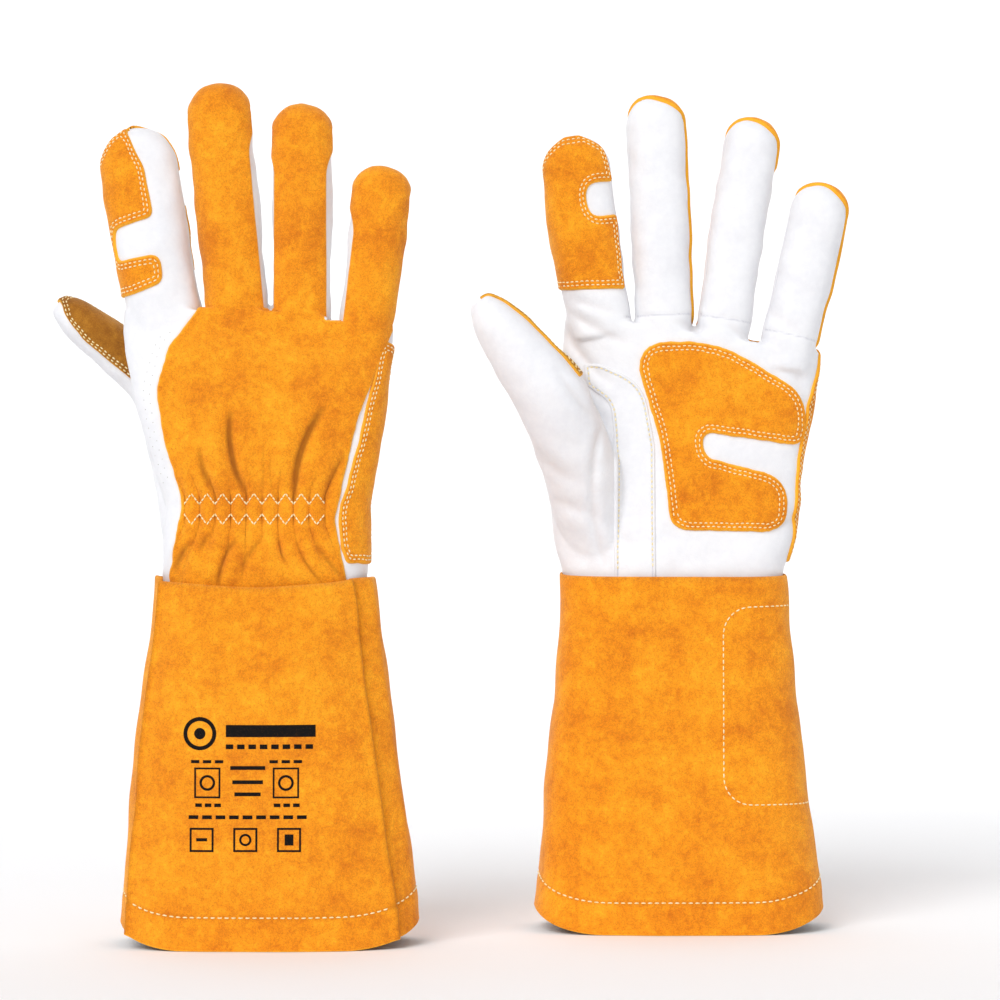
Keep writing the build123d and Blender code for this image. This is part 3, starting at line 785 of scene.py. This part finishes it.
def raised(skin, field, height=LEATHER, rows=ROWS):
    """The part of a skin inside a field's edge, as a layer of its own that starts a little sunk and has
    a rolled edge, a groove under each row of stitches and a puff between the rows."""
    sheet, sunk = skin.copy().above(field), 0.25
    sheet.cut_at(field, (0.22, 0.6, EDGE_ROUND, *(row + off for row in rows for off in (-0.45, 0, 0.45))))
    far = sheet.data[field]
    roll = np.sqrt(np.clip(1 - (1 - np.clip(far / EDGE_ROUND, 0, 1)) ** 2, 0, 1))
    grooves = sum(0.3 * hump(far, row, 0.42) for row in rows)
    puff = 0.14 * hump(far, sum(rows) / 2, 0.5) if rows else 0
    sheet.swell(-sunk + (height + sunk) * roll + 0.12 * hump(far, 1.1, 0.7) - grooves + puff)
    sheet.data["edge"] = far
    # painted shade: how far the rows of stitches are, which darkens the colour along them
    sheet.data["seam_shade"] = np.min([np.full(len(far), FAR), *(np.abs(far - row) for row in rows)], 0)
    return sheet.find_normals()


def bodies_of(skin):
    """Splits a skin into the parts on each body."""
    parts = {}
    for name in (*FINGERS, "thumb"):
        field = f"body_{name}"
        skin.cut(field)
        mine = skin.without_scraps(skin.mean(field) > 0)
        if mine.any():
            parts[name] = skin.keep(mine)
        skin = skin.keep(~mine)
    parts["hand"] = skin
    return parts


# Sewing

def on_skin(tree, x, z, side):
    """The point of a skin at x and z, on its back (1) or its palm side (-1), and the way out of it."""
    hit, normal, _, _ = tree.ray_cast(Vector((x, PALM_TO_CENTRE + side * 90, z)), Vector((0, -side, 0)))
    if hit is None:
        return None
    normal = np.array(normal)
    return np.array(hit), normal if normal[1] * side > 0 else -normal


def walk(line, pitch):
    """Evenly spaced points, ways and normals along a line of (point, normal) pairs."""
    co = np.array([place for place, _ in line])
    normal = np.array([way for _, way in line])
    if len(co) > 8:
        for _ in range(3):
            co[1:-1] = (co[:-2] + 2 * co[1:-1] + co[2:]) / 4
    length = np.concatenate([[0], np.cumsum(np.linalg.norm(np.diff(co, axis=0), axis=1))])
    if length[-1] < pitch:
        return []
    at = np.arange(pitch / 2, length[-1] - pitch * 0.3, pitch)

    def find(t, rows):
        return np.array([np.interp(t, length, rows[:, i]) for i in range(3)]).T

    return list(zip(find(at, co), find(at + 0.4, co) - find(at - 0.4, co), find(at, normal)))


class Sewing:
    """Gathers stitches, each a small capsule that dips into the leather at both ends."""

    def __init__(self):
        self.points, self.faces = [], []

    def stitch(self, middle, way, normal, length, radius, rings=7, sides=7):
        way = way / max(np.linalg.norm(way), 1e-9)
        normal = normal - way * (normal @ way)
        normal /= max(np.linalg.norm(normal), 1e-9)
        across = np.cross(way, normal)
        base = len(self.points)
        for i in range(rings):
            t = -1 + 2 * i / (rings - 1)
            wide = radius * max(1 - abs(t) ** 3, 0.12) ** 0.5
            centre = middle + way * (t * length / 2) + normal * radius * (0.75 - 1.35 * t * t)
            for k in range(sides):
                angle = 2 * pi * k / sides
                self.points.append(centre + wide * (cos(angle) * across + sin(angle) * normal))
        for i in range(rings - 1):
            for k in range(sides):
                a, b = base + i * sides + k, base + i * sides + (k + 1) % sides
                self.faces += [(a, b, b + sides), (a, b + sides, a + sides)]
        last = base + (rings - 1) * sides
        for k in range(1, sides - 1):
            self.faces += [(base, base + k + 1, base + k), (last, last + k, last + k + 1)]

    def row(self, line, pitch=PITCH, length=STITCH, radius=THREAD):
        for middle, way, normal in walk(line, pitch):
            self.stitch(middle, way, normal, length, radius)

    def finish(self, glove, name, body, finish="thread"):
        if self.points:
            make_piece(glove, name, np.array(self.points), self.faces, finish, body, node=False)


def sew_edge(glove, sheet, field, body, rows=ROWS, heights=(0, 1000)):
    """Rows of stitches along a sheet's edge, between two heights."""
    sewing = Sewing()
    for row in rows:
        for line in sheet.isolines(field, row):
            kept = [(point, normal) for point, normal in line if heights[0] < point[2] < heights[1]]
            if len(kept) > 4:
                sewing.row(kept)
    sewing.finish(glove, f"{field}_stitches", body)


# The hand

def make_back(glove, skin):
    """Suede on the back, in one layer from the wrist to three fingertips."""
    back = raised(skin, "back", rows=())
    parts = bodies_of(back)
    leather_piece(glove, "back_panel", parts["hand"], "suede", "hand")
    for name in SUEDE_BACKED:
        leather_piece(glove, f"{name}_back", parts[name], "suede", name)
    return back


def make_white(glove, skin):
    """White leather, pressed in along its seams and where suede covers it."""
    white = skin.copy().below("back", HIDDEN_MARGIN)
    white.cut_at("back", (-0.7, 0.0, 0.9))
    white.data["front_seam"] = white.data["depth"] - FRONT_SEAM
    data = white.cut_at("front_seam", (-0.8, 0.0, 0.8)).data
    on_finger = np.max([smooth(-1, 2, data[f"body_{name}"]) for name in SUEDE_BACKED], 0)
    base_line = np.min([np.abs(data[f"{name}_along"] - 0.4) + FAR * (data[f"body_{name}"] < -2.5)
                        for name in SUEDE_BACKED], 0)
    palm_side = 1 - smooth(8, 12, data["depth"])
    under = smooth(-0.9, 1.2, data["back"])
    groove = 0.55 * hump(data["front_seam"], 0, 0.75) * on_finger + 0.5 * hump(base_line, 0, 0.8) * palm_side
    white.swell(-0.55 * under - groove).find_normals()
    # painted shade: how far the seams are, which darkens the colour along them
    data["seam_shade"] = np.minimum(np.abs(data["front_seam"]) + FAR * (1 - on_finger),
                              base_line + FAR * (1 - palm_side))
    parts = bodies_of(white)
    for name in SUEDE_BACKED:
        leather_piece(glove, f"{name}_front", parts[name].copy().below("front_seam"), "grain", name)
        leather_piece(glove, f"{name}_fourchettes", parts[name].above("front_seam"), "grain", name)
    for name in ("index", "thumb"):
        leather_piece(glove, f"{name}_wrap", parts[name], "grain", name)
    hand = parts["hand"].cut("wing")
    in_wing = hand.without_scraps(hand.mean("wing") > 0)
    leather_piece(glove, "thumb_wing", hand.keep(in_wing), "grain", "hand")
    leather_piece(glove, "palm_panel", hand.keep(~in_wing), "grain", "hand")


def make_patches(glove, skin):
    """The suede patches, and the white strip along the thumb."""
    # the thumb's patch takes a darker copy of the suede, which paints shade on it
    for field, finish, body in (("palm_patch", "suede", "hand"), ("side_patch", "suede", "hand"),
                                ("index_patch", "suede", "index"), ("thumb_patch", "painted_shade_suede", "thumb")):
        patch = raised(skin, field)
        leather_piece(glove, field, patch, finish, body)
        sew_edge(glove, patch, field, body)
    strip = raised(skin, "thumb_strip", 0.9, STRIP_ROWS)
    leather_piece(glove, "thumb_strip", strip, "grain", "hand")
    sew_edge(glove, strip, "thumb_strip", "hand", STRIP_ROWS, (173, 275))


def make_linings(glove, skin):
    """Linings a little inside the leather, left out where two walls of leather are too close."""
    inner, tree = skin.copy().swell(-LINING_DEPTH).find_normals(), skin.tree()
    nearest = ((point, *tree.find_nearest(point)[:2]) for point in inner.data["co"].tolist())
    inner.data["cover"] = np.array([(hit - Vector(point)).dot(normal) for point, hit, normal in nearest])
    inner = inner.keep(inner.without_scraps(inner.mean("cover") > LEAST_COVER))
    for name, part in bodies_of(inner).items():
        leather_piece(glove, f"{name}_lining", part, "lining", name, LINING)


def make_wrist(glove, skin, back):
    """The zigzag rows that hold the elastic, and the elastic behind them."""
    tree, sewing = back.tree(), Sewing()
    left, right = glove.shape["wrist"]
    for middle, turn in zip(WRIST_ROWS, (-1, 1)):
        corners = [(left + i * GATHER / 2, middle + ZIGZAG * turn * (1 if i % 2 else -1))
                   for i in range(int((right - left) / (GATHER / 2)) + 1)]
        for (x0, z0), (x1, z1) in zip(corners[:-1], corners[1:]):
            line = [on_skin(tree, x0 + t * (x1 - x0), z0 + t * (z1 - z0), 1) for t in np.linspace(0, 1, 9)]
            if None not in line:
                sewing.row(line, hypot(x1 - x0, z1 - z0) / 3, 2.0, 0.34)
    sewing.finish(glove, "wrist_stitches", "hand")

    band = skin.copy()
    x, y, z = band.data["co"].T
    band.data["band"] = np.min([z - 196, 208.5 - z, y - 20, x - left, right - x], 0)
    band = band.above("band").swell(-1.5).find_normals()
    leather_piece(glove, "wrist_elastic", band, "elastic", "hand", 0.7)


def make_needle_holes(glove, skin):
    """The two rows of fine needle holes beside the back panel, on the thumb's side."""
    sewing, beside = Sewing(), skin.mean("back")
    near = skin.keep((beside < 0) & (beside > -12) & (skin.mean("depth") > 17))
    for row in NEEDLE_ROWS:
        for line in near.isolines("back", row):
            kept = [(point - way * 0.35, way) for point, way in line
                    if 212 < point[2] < 286 and point[0] < -10]
            if len(kept) > 4:
                sewing.row(kept, 4.4, 0.9, 0.3)
    sewing.finish(glove, "needle_holes", "hand", "elastic")


# The cuff

def cuff_ring(glove, z, inset, where):
    """A point of the cuff at height z: where runs 0 to 1 over the back from the thumb's side, and 1 to 2
    round the palm side."""
    middle, width, depth = at_height(glove.shape["cuff"], z)
    left, right = (np.interp(z, (0, CUFF_TOP), seam_shade) for seam_shade in glove.shape["cuff_seams"])
    half_w, half_d = width / 2 - inset, depth / 2 - inset
    drop = 0.15 * depth      # the back's seams lie this much lower than its middle

    over = np.clip(where, 0, 1)
    x_back = left + (right - left) * over
    y_back = PALM_TO_CENTRE + half_d - drop * np.abs(2 * over - 1) ** 3.2
    # the sides leave the seams, swell to the full width and close over the palm
    turn = np.clip(where - 1, 0, 1)
    start = np.arctan2(half_d - drop, right - middle)
    stop = np.arctan2(half_d - drop, left - middle)
    angle = start + (stop - 2 * pi - start) * turn
    c, s = np.cos(angle), np.sin(angle)
    power = 3.1
    radius = (np.abs(c / half_w) ** power + np.abs(s / half_d) ** power) ** (-1 / power)
    near_start, near_stop = 1 - smooth(0, 0.06, turn), smooth(0.94, 1, turn)
    radius = (radius * (1 - near_start - near_stop) + np.hypot(half_d - drop, right - middle) * near_start
              + np.hypot(half_d - drop, left - middle) * near_stop)
    x_palm, y_palm = middle + radius * c, PALM_TO_CENTRE + radius * s
    return np.where(where <= 1, x_back, x_palm), np.where(where <= 1, y_back, y_palm)


def hem_height(glove, where):
    """The hem's height round the cuff: flat in the middle and rising to the sides along an ellipse."""
    x, _ = cuff_ring(glove, np.full(len(where), 8.0), 0, where)
    over = np.clip((np.abs(x) - HEM_FLAT) / (HEM_HALF - HEM_FLAT), 0, 1)
    return HEM_RISE * (1 - np.sqrt(1 - 0.96 * over ** 2)) / (1 - np.sqrt(0.04))


def rim_height(where):
    """How far the cuff's top stands above its middle: the sides reach up over the hand."""
    return 1.5 * (hump(where, 1.06, 0.10) + hump(where, 1.94, 0.10)) - 3.5 * hump(where, 0.5, 0.42)


def outward(co):
    """The level way out of the cuff at each point."""
    way = co * (1, 1, 0) - (0, PALM_TO_CENTRE, 0)
    return way / np.linalg.norm(way, axis=1, keepdims=True)


def cuff_sheet(glove, start, stop, around, up, layers):
    """A skin round part of the cuff. layers are (inset, from, to): stretches of the wall's profile that
    run up (or down) the cuff, with from and to between 0 at the hem and 1 at the top."""
    where = np.linspace(start, stop, around)
    hem = hem_height(glove, where)
    rows = []
    for inset, low, high in layers:
        for t in np.linspace(low, high, max(int(abs(high - low) * up), 2)):
            z = hem + t * (CUFF_TOP + rim_height(where) - hem)
            rows.append(np.stack([*cuff_ring(glove, z, inset, where), z], 1))
    co, count = np.concatenate(rows), len(rows)
    return Skin(grid(count, around, closed=True), co=co, where=np.tile(where, count),
                above_hem=co[:, 2] - np.tile(hem, count))


def cuff_ends(co, around):
    """The faces that close a cuff sheet's two upright edges."""
    faces = []
    for column, beside in ((0, 1), (around - 1, around - 2)):
        ring = np.arange(column, len(co), around)
        way = co[ring].mean(0) - co[ring - column + beside].mean(0)
        for corners in tessellate_polygon([[Vector(point) for point in co[ring]]]):
            a, b, c = (int(ring[i]) for i in corners)
            facing = np.cross(co[b] - co[a], co[c] - co[a]) @ way
            faces.append((a, b, c) if facing > 0 else (a, c, b))
    return np.array(faces)


def cuff_waves(co):
    """The cuff's own soft unevenness."""
    return 0.9 * Waves(21, 70)(co) + 0.35 * Waves(22, 24)(co)


def make_cuff(glove):
    """The two panels with their turned hems, and the lining. Returns the panels' search trees."""
    trees = {}
    for name, start, stop, around, girth, lift, spread in CUFF_PANELS:
        skin = cuff_sheet(glove, start, stop, around, 150, CUFF_LAYERS)
        co, above_hem, where = (skin.data[field] for field in ("co", "above_hem", "where"))
        from_seam = np.minimum(np.abs(where - start), np.abs(where - stop)) * girth
        co += outward(co) * (cuff_waves(co) + lift * hump(from_seam, 0, spread)
                             - 0.45 * hump(above_hem, HEM_SEAM, 0.8)
                             + 0.35 * hump(above_hem, HEM_SEAM - 4, 5))[:, None]
        co[:, 2] = np.maximum(co[:, 2], FLOOR_GAP)
        skin.faces = skin.faces[:, ::-1]
        # a pale hem edge, and painted shade along the hem's row of stitches and down the panels' seams
        fields = {"edge": np.minimum(above_hem, FAR) + 0.4,
                  "fold_shade": 0.4 * hump(above_hem, HEM_SEAM, 1.5) + 0.6 * hump(from_seam, 0, 1.3),
                  "seam_shade": np.abs(above_hem - HEM_SEAM)}
        make_piece(glove, name, co, np.concatenate([skin.faces, cuff_ends(co, around)]), "suede", "cuff",
                   fields=fields)
        trees[name] = skin.tree()

    skin = cuff_sheet(glove, 0.0, 2.0, 260, 60, CUFF_LINING)
    co = skin.data["co"]
    co += outward(co) * cuff_waves(co)[:, None]
    make_piece(glove, "cuff_lining", co, skin.faces, "lining", "cuff", fields={"edge": np.full(len(co), FAR)})
    return trees


def sew_hem(glove, trees):
    """The hem's row of stitches, up to both upright edges of each panel."""
    sewing = Sewing()
    for name, start, stop, samples in (("cuff_back_panel", 0.015, 0.985, 160),
                                       ("cuff_palm_panel", 1.01, 1.99, 360)):
        where = np.linspace(start, stop, samples)
        height = HEM_SEAM + hem_height(glove, where)
        line = []
        for x, y, z in zip(*cuff_ring(glove, height, 0, where), height):
            way = Vector((x, y - PALM_TO_CENTRE, 0)).normalized()
            hit, normal, _, _ = trees[name].ray_cast(Vector((x, y, z)) + way * 6, -way, 12)
            if hit is not None:
                line.append((np.array(hit), np.array(normal if normal.dot(way) > 0 else -normal)))
        sewing.row(line, 3.2, 2.3, 0.36)
    sewing.finish(glove, "hem_stitches", "cuff")


def make_vein_patch(glove, tree):
    """The row of stitches that shows the vein patch, and the patch itself inside the palm side's wall."""
    sewing, line = Sewing(), []
    left, low, high, radius = VEIN_PATCH
    corner = [(left + radius - radius * sin(t), high - radius + radius * cos(t))
              for t in np.linspace(0, pi / 2, 12)]
    lower = [(x, high + low - z) for x, z in corner[::-1]]
    path = np.array([(HEM_HALF, high + 1), *corner, *lower, (HEM_HALF, low - 0.3)])
    for a, b in zip(path[:-1], path[1:]):
        for t in np.linspace(0, 1, max(int(np.linalg.norm(b - a) / 0.8), 1), endpoint=False):
            place = on_skin(tree, *(a + t * (b - a)), -1)
            if place is not None and place[1][1] < -0.12:
                line.append(place)
    sewing.row(line, 3.0, 2.2, 0.34)
    sewing.finish(glove, "vein_patch_stitches", "cuff")

    # the patch runs from just inside its stitches to near the cuff's side
    columns, rows, patch_left, from_side = 24, 48, 21, 7
    across, z = np.meshgrid(np.linspace(0, 1, columns), np.linspace(62, 155, rows))
    middle, width, _ = at_height(glove.shape["cuff"], z)
    x = patch_left + across * (middle + width / 2 - from_side - patch_left)
    places = [on_skin(tree, *spot, -1) for spot in zip(x.ravel(), z.ravel())]
    co = np.array([place - way * (LEATHER + 0.15) for place, way in places])
    skin = Skin(grid(rows, columns), co=co, fold_shade=np.zeros(len(co))).find_normals()
    leather_piece(glove, "vein_patch", skin, "suede", "cuff", 1.0)


def make_print(glove, tree):
    """The printed block on the back of the cuff: plain bars, rings and frames with no lettering."""
    points, faces = [], []
    flip = -glove.back       # the block reads the same way on both gloves

    def point(x, z):
        place, way = on_skin(tree, flip * x, z, 1)
        points.append(place + way * PRINT_LIFT)

    def tile(x0, z0, x1, z1):
        nx, nz = (int(max(abs(size) / 2.5, 1)) + 1 for size in (x1 - x0, z1 - z0))
        base = len(points)
        for z in np.linspace(z0, z1, nz):
            for x in np.linspace(x0, x1, nx):
                point(x, z)
        for i in range(nz - 1):
            for j in range(nx - 1):
                a = base + i * nx + j
                faces.append((a, a + 1, a + nx + 1, a + nx))

    def ring(x, z, outer, inner, steps=40):
        base = len(points)
        for t in np.linspace(0, 2 * pi, steps):
            for radius in (inner, outer):
                point(x + radius * cos(t), z + radius * sin(t))
        for a in range(base, base + 2 * steps - 2, 2):
            faces.append((a, a + 1, a + 3, a + 2))

    def box(x0, z0, x1, z1, line=0.8):
        tile(x0, z0, x1, z0 + line)
        tile(x0, z1 - line, x1, z1)
        tile(x0, z0 + line, x0 + line, z1 - line)
        tile(x1 - line, z0 + line, x1, z1 - line)

    # a plain ring and two bars
    ring(-30, 99.5, 7.6, 5.8)
    ring(-30, 99.5, 2.6, 0.05)
    tile(-18, 98, 23, 103.5)
    for i in range(8):
        tile(-18 + 5.2 * i, 92.5, -14.6 + 5.2 * i, 94.6)
    # two frames with plain marks between rows of dashes
    for x in (-27, 9):
        box(x - 5.5, 70, x + 6.5, 84)
        ring(x + 0.5, 77, 3.6, 2.5)
        for i in range(3):
            tile(x - 7 + 5.5 * i, 86, x - 3.2 + 5.5 * i, 87.4)
            tile(x - 5 + 4.4 * i, 66, x - 2 + 4.4 * i, 67.6)
    for i, z in enumerate((83, 76.5, 71)):
        tile(-16 + i, z, 0 - i, z + 1.7)
    for i in range(9):
        tile(-35 + 6.2 * i, 60.5, -30.6 + 6.2 * i, 62.2)
    # a row of three small frames
    for x in (-29, -9, 11):
        box(x - 5.5, 45.5, x + 5.5, 56.5, 0.9)
    tile(-31.5, 50.4, -26.5, 51.8)
    ring(-9, 51, 2.8, 1.8)
    tile(9, 48.5, 13, 53.5)

    # each mark is a thin closed slab
    triangles = np.array([tri for a, b, c, d in faces for tri in ((a, b, c), (a, c, d))])
    if flip > 0:
        triangles = triangles[:, ::-1]
    skin = Skin(triangles, co=np.array(points), fold_shade=np.zeros(len(points))).find_normals()
    leather_piece(glove, "cuff_print", skin, "print", "cuff", 0.3, node=False)


# Materials

class Finish:
    """A material, with short ways to build its nodes. Each returns the socket that it ends in."""

    def __init__(self, name):
        material = MATERIALS[name] = bpy.data.materials.new(name)
        material.use_nodes = True
        self.tree = material.node_tree
        self.shader = self.tree.nodes["Principled BSDF"]
        self.place = self.add("ShaderNodeTexCoord").outputs["Object"]

    def feed(self, node, inputs):
        """Links each input to a socket, or sets its own value."""
        for key, value in inputs.items():
            socket = node.inputs[key]
            if isinstance(value, bpy.types.NodeSocket):
                self.tree.links.new(value, socket)
            else:
                socket.default_value = (*value, 1) if socket.type == "RGBA" else value

    def add(self, kind, inputs=None, **settings):
        node = self.tree.nodes.new(kind)
        for name, value in settings.items():
            setattr(node, name, value)
        self.feed(node, inputs or {})
        return node

    def noise(self, scale, detail=3.0, roughness=0.55, distortion=0.0):
        """Noise in the frame's metres: scale is features a metre."""
        return self.add("ShaderNodeTexNoise", {"Scale": scale, "Detail": detail, "Roughness": roughness,
                                               "Distortion": distortion, "Vector": self.place}).outputs["Fac"]

    def ramp(self, value, *stops):
        node = self.add("ShaderNodeValToRGB", {"Fac": value})
        elements = node.color_ramp.elements
        while len(elements) < len(stops):
            elements.new(0.5)
        for element, (position, colour) in zip(elements, stops):
            element.position = position
            element.color = (*colour, 1)
        return node.outputs["Color"]

    def mix(self, factor, one, other, kind="MIX"):
        return self.add("ShaderNodeMix", {0: factor, 6: one, 7: other}, data_type="RGBA",
                        blend_type=kind).outputs[2]

    def span(self, value, low, high, to_low=0.0, to_high=1.0):
        inputs = {"Value": value, "From Min": low, "From Max": high, "To Min": to_low, "To Max": to_high}
        return self.add("ShaderNodeMapRange", inputs, clamp=True).outputs["Result"]

    def math(self, operation, one, other):
        return self.add("ShaderNodeMath", {0: one, 1: other}, operation=operation).outputs["Value"]

    def sum_of_noise(self, one, share, other, other_share):
        return self.math("ADD", self.math("MULTIPLY", one, share), self.math("MULTIPLY", other, other_share))

    def field(self, name):
        """A number stored at the mesh's points: how far an edge or a seam is, or how deep a fold is; the seam
        and the fold are for painted shade.
        """
        return self.add("ShaderNodeAttribute", attribute_name=name).outputs["Fac"]

    def cells(self, scale, stretch=None, **settings):
        """Cells in the frame's metres, stretched by a scale a direction."""
        place = self.place
        if stretch:
            place = self.add("ShaderNodeMapping", {"Vector": place, "Scale": stretch}).outputs["Vector"]
        inputs = {"Scale": scale, "Vector": place}
        return self.add("ShaderNodeTexVoronoi", inputs, **settings).outputs["Distance"]

    def surface(self, colour, roughness, *bumps, **inputs):
        """Sets the shader. Each bump is (height, strength, distance in metres), on top of the last."""
        self.feed(self.shader, {"Base Color": colour, "Roughness": roughness})
        self.feed(self.shader, {name.replace("_", " "): value for name, value in inputs.items()})
        node = None
        for height, strength, distance in bumps:
            inputs = {"Height": height, "Strength": strength, "Distance": distance}
            if node:
                inputs["Normal"] = node.outputs["Normal"]
            node = self.add("ShaderNodeBump", inputs)
        if node:
            self.feed(self.shader, {"Normal": node.outputs["Normal"]})


def suede(name, deep, middle, bright, edge):
    """Split suede: mottled, with a fibrous nap, a paler cut edge, and painted shade in its folds and along
    its seams.
    """
    f = Finish(name)
    mottle = f.sum_of_noise(f.noise(45, 4, 0.6), 0.55, f.noise(260, 4, 0.65, 0.4), 0.45)
    nap = f.noise(2600, 3, 0.7)
    fibres = f.ramp(nap, (0.3, (0.62, 0.5, 0.4)), (0.62, (1.25, 1.3, 1.4)))
    sand = f.ramp(f.noise(1150, 3, 0.75), (0.34, (0.70, 0.58, 0.45)), (0.64, (1.22, 1.3, 1.5)))
    colour = f.ramp(mottle, (0.36, deep), (0.5, middle), (0.64, bright))
    colour = f.mix(0.55, colour, fibres, "MULTIPLY")
    colour = f.mix(0.5, colour, sand, "MULTIPLY")
    # painted shade in folds and creases
    colour = f.mix(f.span(f.field("fold_shade"), 0.1, 1.3, 0.0, 0.8), colour, tuple(c * 0.42 for c in deep))
    # painted shade along the rows of stitches
    colour = f.mix(f.span(f.field("seam_shade"), 0.1, 1.0, 0.25, 0.0), colour, deep)
    uneven = f.math("ADD", f.field("edge"), f.math("MULTIPLY", f.noise(700, 2), 1.0))
    colour = f.mix(f.span(uneven, 0.7, 1.8, 0.8, 0.0), colour, edge)
    f.surface(colour, f.span(nap, 0.3, 0.7, 0.82, 0.98),
              (f.noise(330, 4, 0.6), 0.35, 0.0008), (f.noise(1500, 4, 0.7), 0.6, 0.0004), (nap, 0.5, 0.0002),
              Specular_IOR_Level=0.25, Sheen_Weight=0.35, Sheen_Roughness=0.5, Sheen_Tint=(1.0, 0.72, 0.35))


def grain_leather():
    """Smooth white leather: fine pores, soft creases, a satin surface, and painted shade in its folds and
    along its seams.
    """
    f = Finish("grain")
    tone = f.sum_of_noise(f.noise(30), 0.6, f.noise(300), 0.4)
    colour = f.ramp(tone, (0.35, (0.78, 0.78, 0.81)), (0.6, (0.84, 0.84, 0.86)))
    # painted shade along the seams, a blue-grey
    colour = f.mix(f.span(f.field("seam_shade"), 0.05, 0.7, 0.42, 0.0), colour, (0.42, 0.42, 0.50))
    # painted shade in folds and creases, a warm grey
    colour = f.mix(f.span(f.field("fold_shade"), 0.1, 1.4, 0.0, 0.5), colour, (0.70, 0.64, 0.62))
    creases = f.cells(170, (1.0, 1.0, 0.45), feature="DISTANCE_TO_EDGE")
    f.surface(colour, f.span(f.noise(200), 0.3, 0.7, 0.42, 0.60),
              (f.noise(110, 4, 0.6, 0.8), 0.22, 0.0012), (creases, 0.12, 0.0005),
              (f.cells(900), 0.22, 0.0002), Specular_IOR_Level=0.4)


def knit(name, colour, scale):
    f = Finish(name)
    rows = f.add("ShaderNodeTexWave", {"Scale": scale, "Distortion": 1.2, "Vector": f.place},
                 bands_direction="Z").outputs["Fac"]
    shade = f.ramp(rows, (0.2, tuple(c * 0.75 for c in colour)), (0.8, colour))
    worn = f.ramp(f.noise(500), (0.3, (0.7, 0.7, 0.7)), (0.7, (1, 1, 1)))
    f.surface(f.mix(0.3, shade, worn, "MULTIPLY"), 0.92, (rows, 0.5, 0.0005), (f.noise(1200), 0.3, 0.0003))


def thread():
    f = Finish("thread")
    cream = f.ramp(f.noise(900, 2), (0.3, (0.86, 0.66, 0.26)), (0.65, (0.98, 0.88, 0.55)))
    f.surface(cream, 0.6, (f.noise(4200, 2), 0.6, 0.0002), Sheen_Weight=0.3)


def ink():
    f = Finish("print")
    black = f.ramp(f.noise(1800, 3, 0.7), (0.28, (0.075, 0.034, 0.010)), (0.42, (0.007, 0.006, 0.006)))
    f.surface(black, 0.9, (f.noise(1500, 4, 0.7), 0.5, 0.0003), Specular_IOR_Level=0.12)


def paper():
    """The studio's floor."""
    f = Finish("studio")
    pale = f.ramp(f.noise(3, 1), (0.3, (0.93, 0.93, 0.935)), (0.7, (0.95, 0.95, 0.955)))
    f.surface(pale, 0.9, Specular_IOR_Level=0.1)


# The studio

def make_stage():
    """A pale floor that curves up into a backdrop."""
    width, front, back, height, bend = 6.0, -4.0, 1.6, 4.0, 0.8
    profile = [(front, 0.0), (back - bend, 0.0)]
    profile += [(back - bend + bend * sin(t), bend - bend * cos(t)) for t in np.linspace(0.1, pi / 2, 14)]
    profile.append((back, height))
    points = [(x, y, z) for y, z in profile for x in (-width, width)]
    faces = [(2 * i, 2 * i + 1, 2 * i + 3, 2 * i + 2) for i in range(len(profile) - 1)]
    mesh = bpy.data.meshes.new("studio_sweep")
    mesh.from_pydata(points, [], faces)
    mesh.polygons.foreach_set("use_smooth", [True] * len(faces))
    mesh.materials.append(MATERIALS["studio"])
    sweep = bpy.data.objects.new("studio_sweep", mesh)
    bpy.context.scene.collection.objects.link(sweep)


def soft_sun(name, place, strength, spread):
    """Even light from a large far lamp: spread is its width in degrees."""
    data = bpy.data.lights.new(name, "SUN")
    data.energy, data.angle = strength, radians(spread)
    lamp = bpy.data.objects.new(name, data)
    lamp.location = place
    lamp.rotation_euler = Vector(place).to_track_quat("Z", "Y").to_euler()
    bpy.context.scene.collection.objects.link(lamp)


def make_lights():
    world = bpy.data.worlds.new("studio")
    bpy.context.scene.world = world
    world.use_nodes = True
    sky = world.node_tree.nodes["Background"].inputs
    sky["Color"].default_value = (0.97, 0.98, 1.0, 1)
    sky["Strength"].default_value = 0.42
    soft_sun("key", (-0.75, -1.5, 1.25), 2.0, 35)
    soft_sun("fill", (1.0, -1.3, 0.5), 0.45, 60)
    bpy.context.scene.view_settings.view_transform = "Standard"


def make_camera(right, left):
    """Level with the middle of the gloves, 1.6 m in front of the right-hand glove."""
    distance, height, aside = 1.6, 0.2065, 0.0109
    data = bpy.data.cameras.new("camera")
    data.lens, data.sensor_width, data.clip_end = 123.55, 36, 50
    camera = bpy.data.objects.new("camera", data)
    camera.location = (0.5 * (right.x + left.x) / 1000 + aside, right.y / 1000 - distance, height)
    camera.rotation_euler = (pi / 2, 0, 0)
    bpy.context.scene.collection.objects.link(camera)
    bpy.context.scene.camera = camera


suede("suede", (0.68, 0.19, 0.004), (0.84, 0.285, 0.006), (0.94, 0.38, 0.012), (1.0, 0.50, 0.035))
# a darker, browner copy of the suede: painted shade on the thumb's patch, whose side is turned from the light
suede("painted_shade_suede", (0.26, 0.09, 0.006), (0.36, 0.14, 0.010), (0.48, 0.21, 0.02), (0.95, 0.46, 0.04))
grain_leather()
knit("lining", (0.74, 0.70, 0.62), 260)
knit("elastic", (0.62, 0.60, 0.55), 420)
thread()
ink()
paper()

gloves = (Glove("right", RIGHT), Glove("left", LEFT))
make_camera(*gloves)
make_stage()
make_lights()
for glove in gloves:
    skin = glove_skin(glove)
    back = make_back(glove, skin)
    make_white(glove, skin)
    make_patches(glove, skin)
    make_linings(glove, skin)
    make_wrist(glove, skin, back)
    make_needle_holes(glove, skin)
    trees = make_cuff(glove)
    sew_hem(glove, trees)
    make_vein_patch(glove, trees["cuff_palm_panel"])
    make_print(glove, trees["cuff_back_panel"])
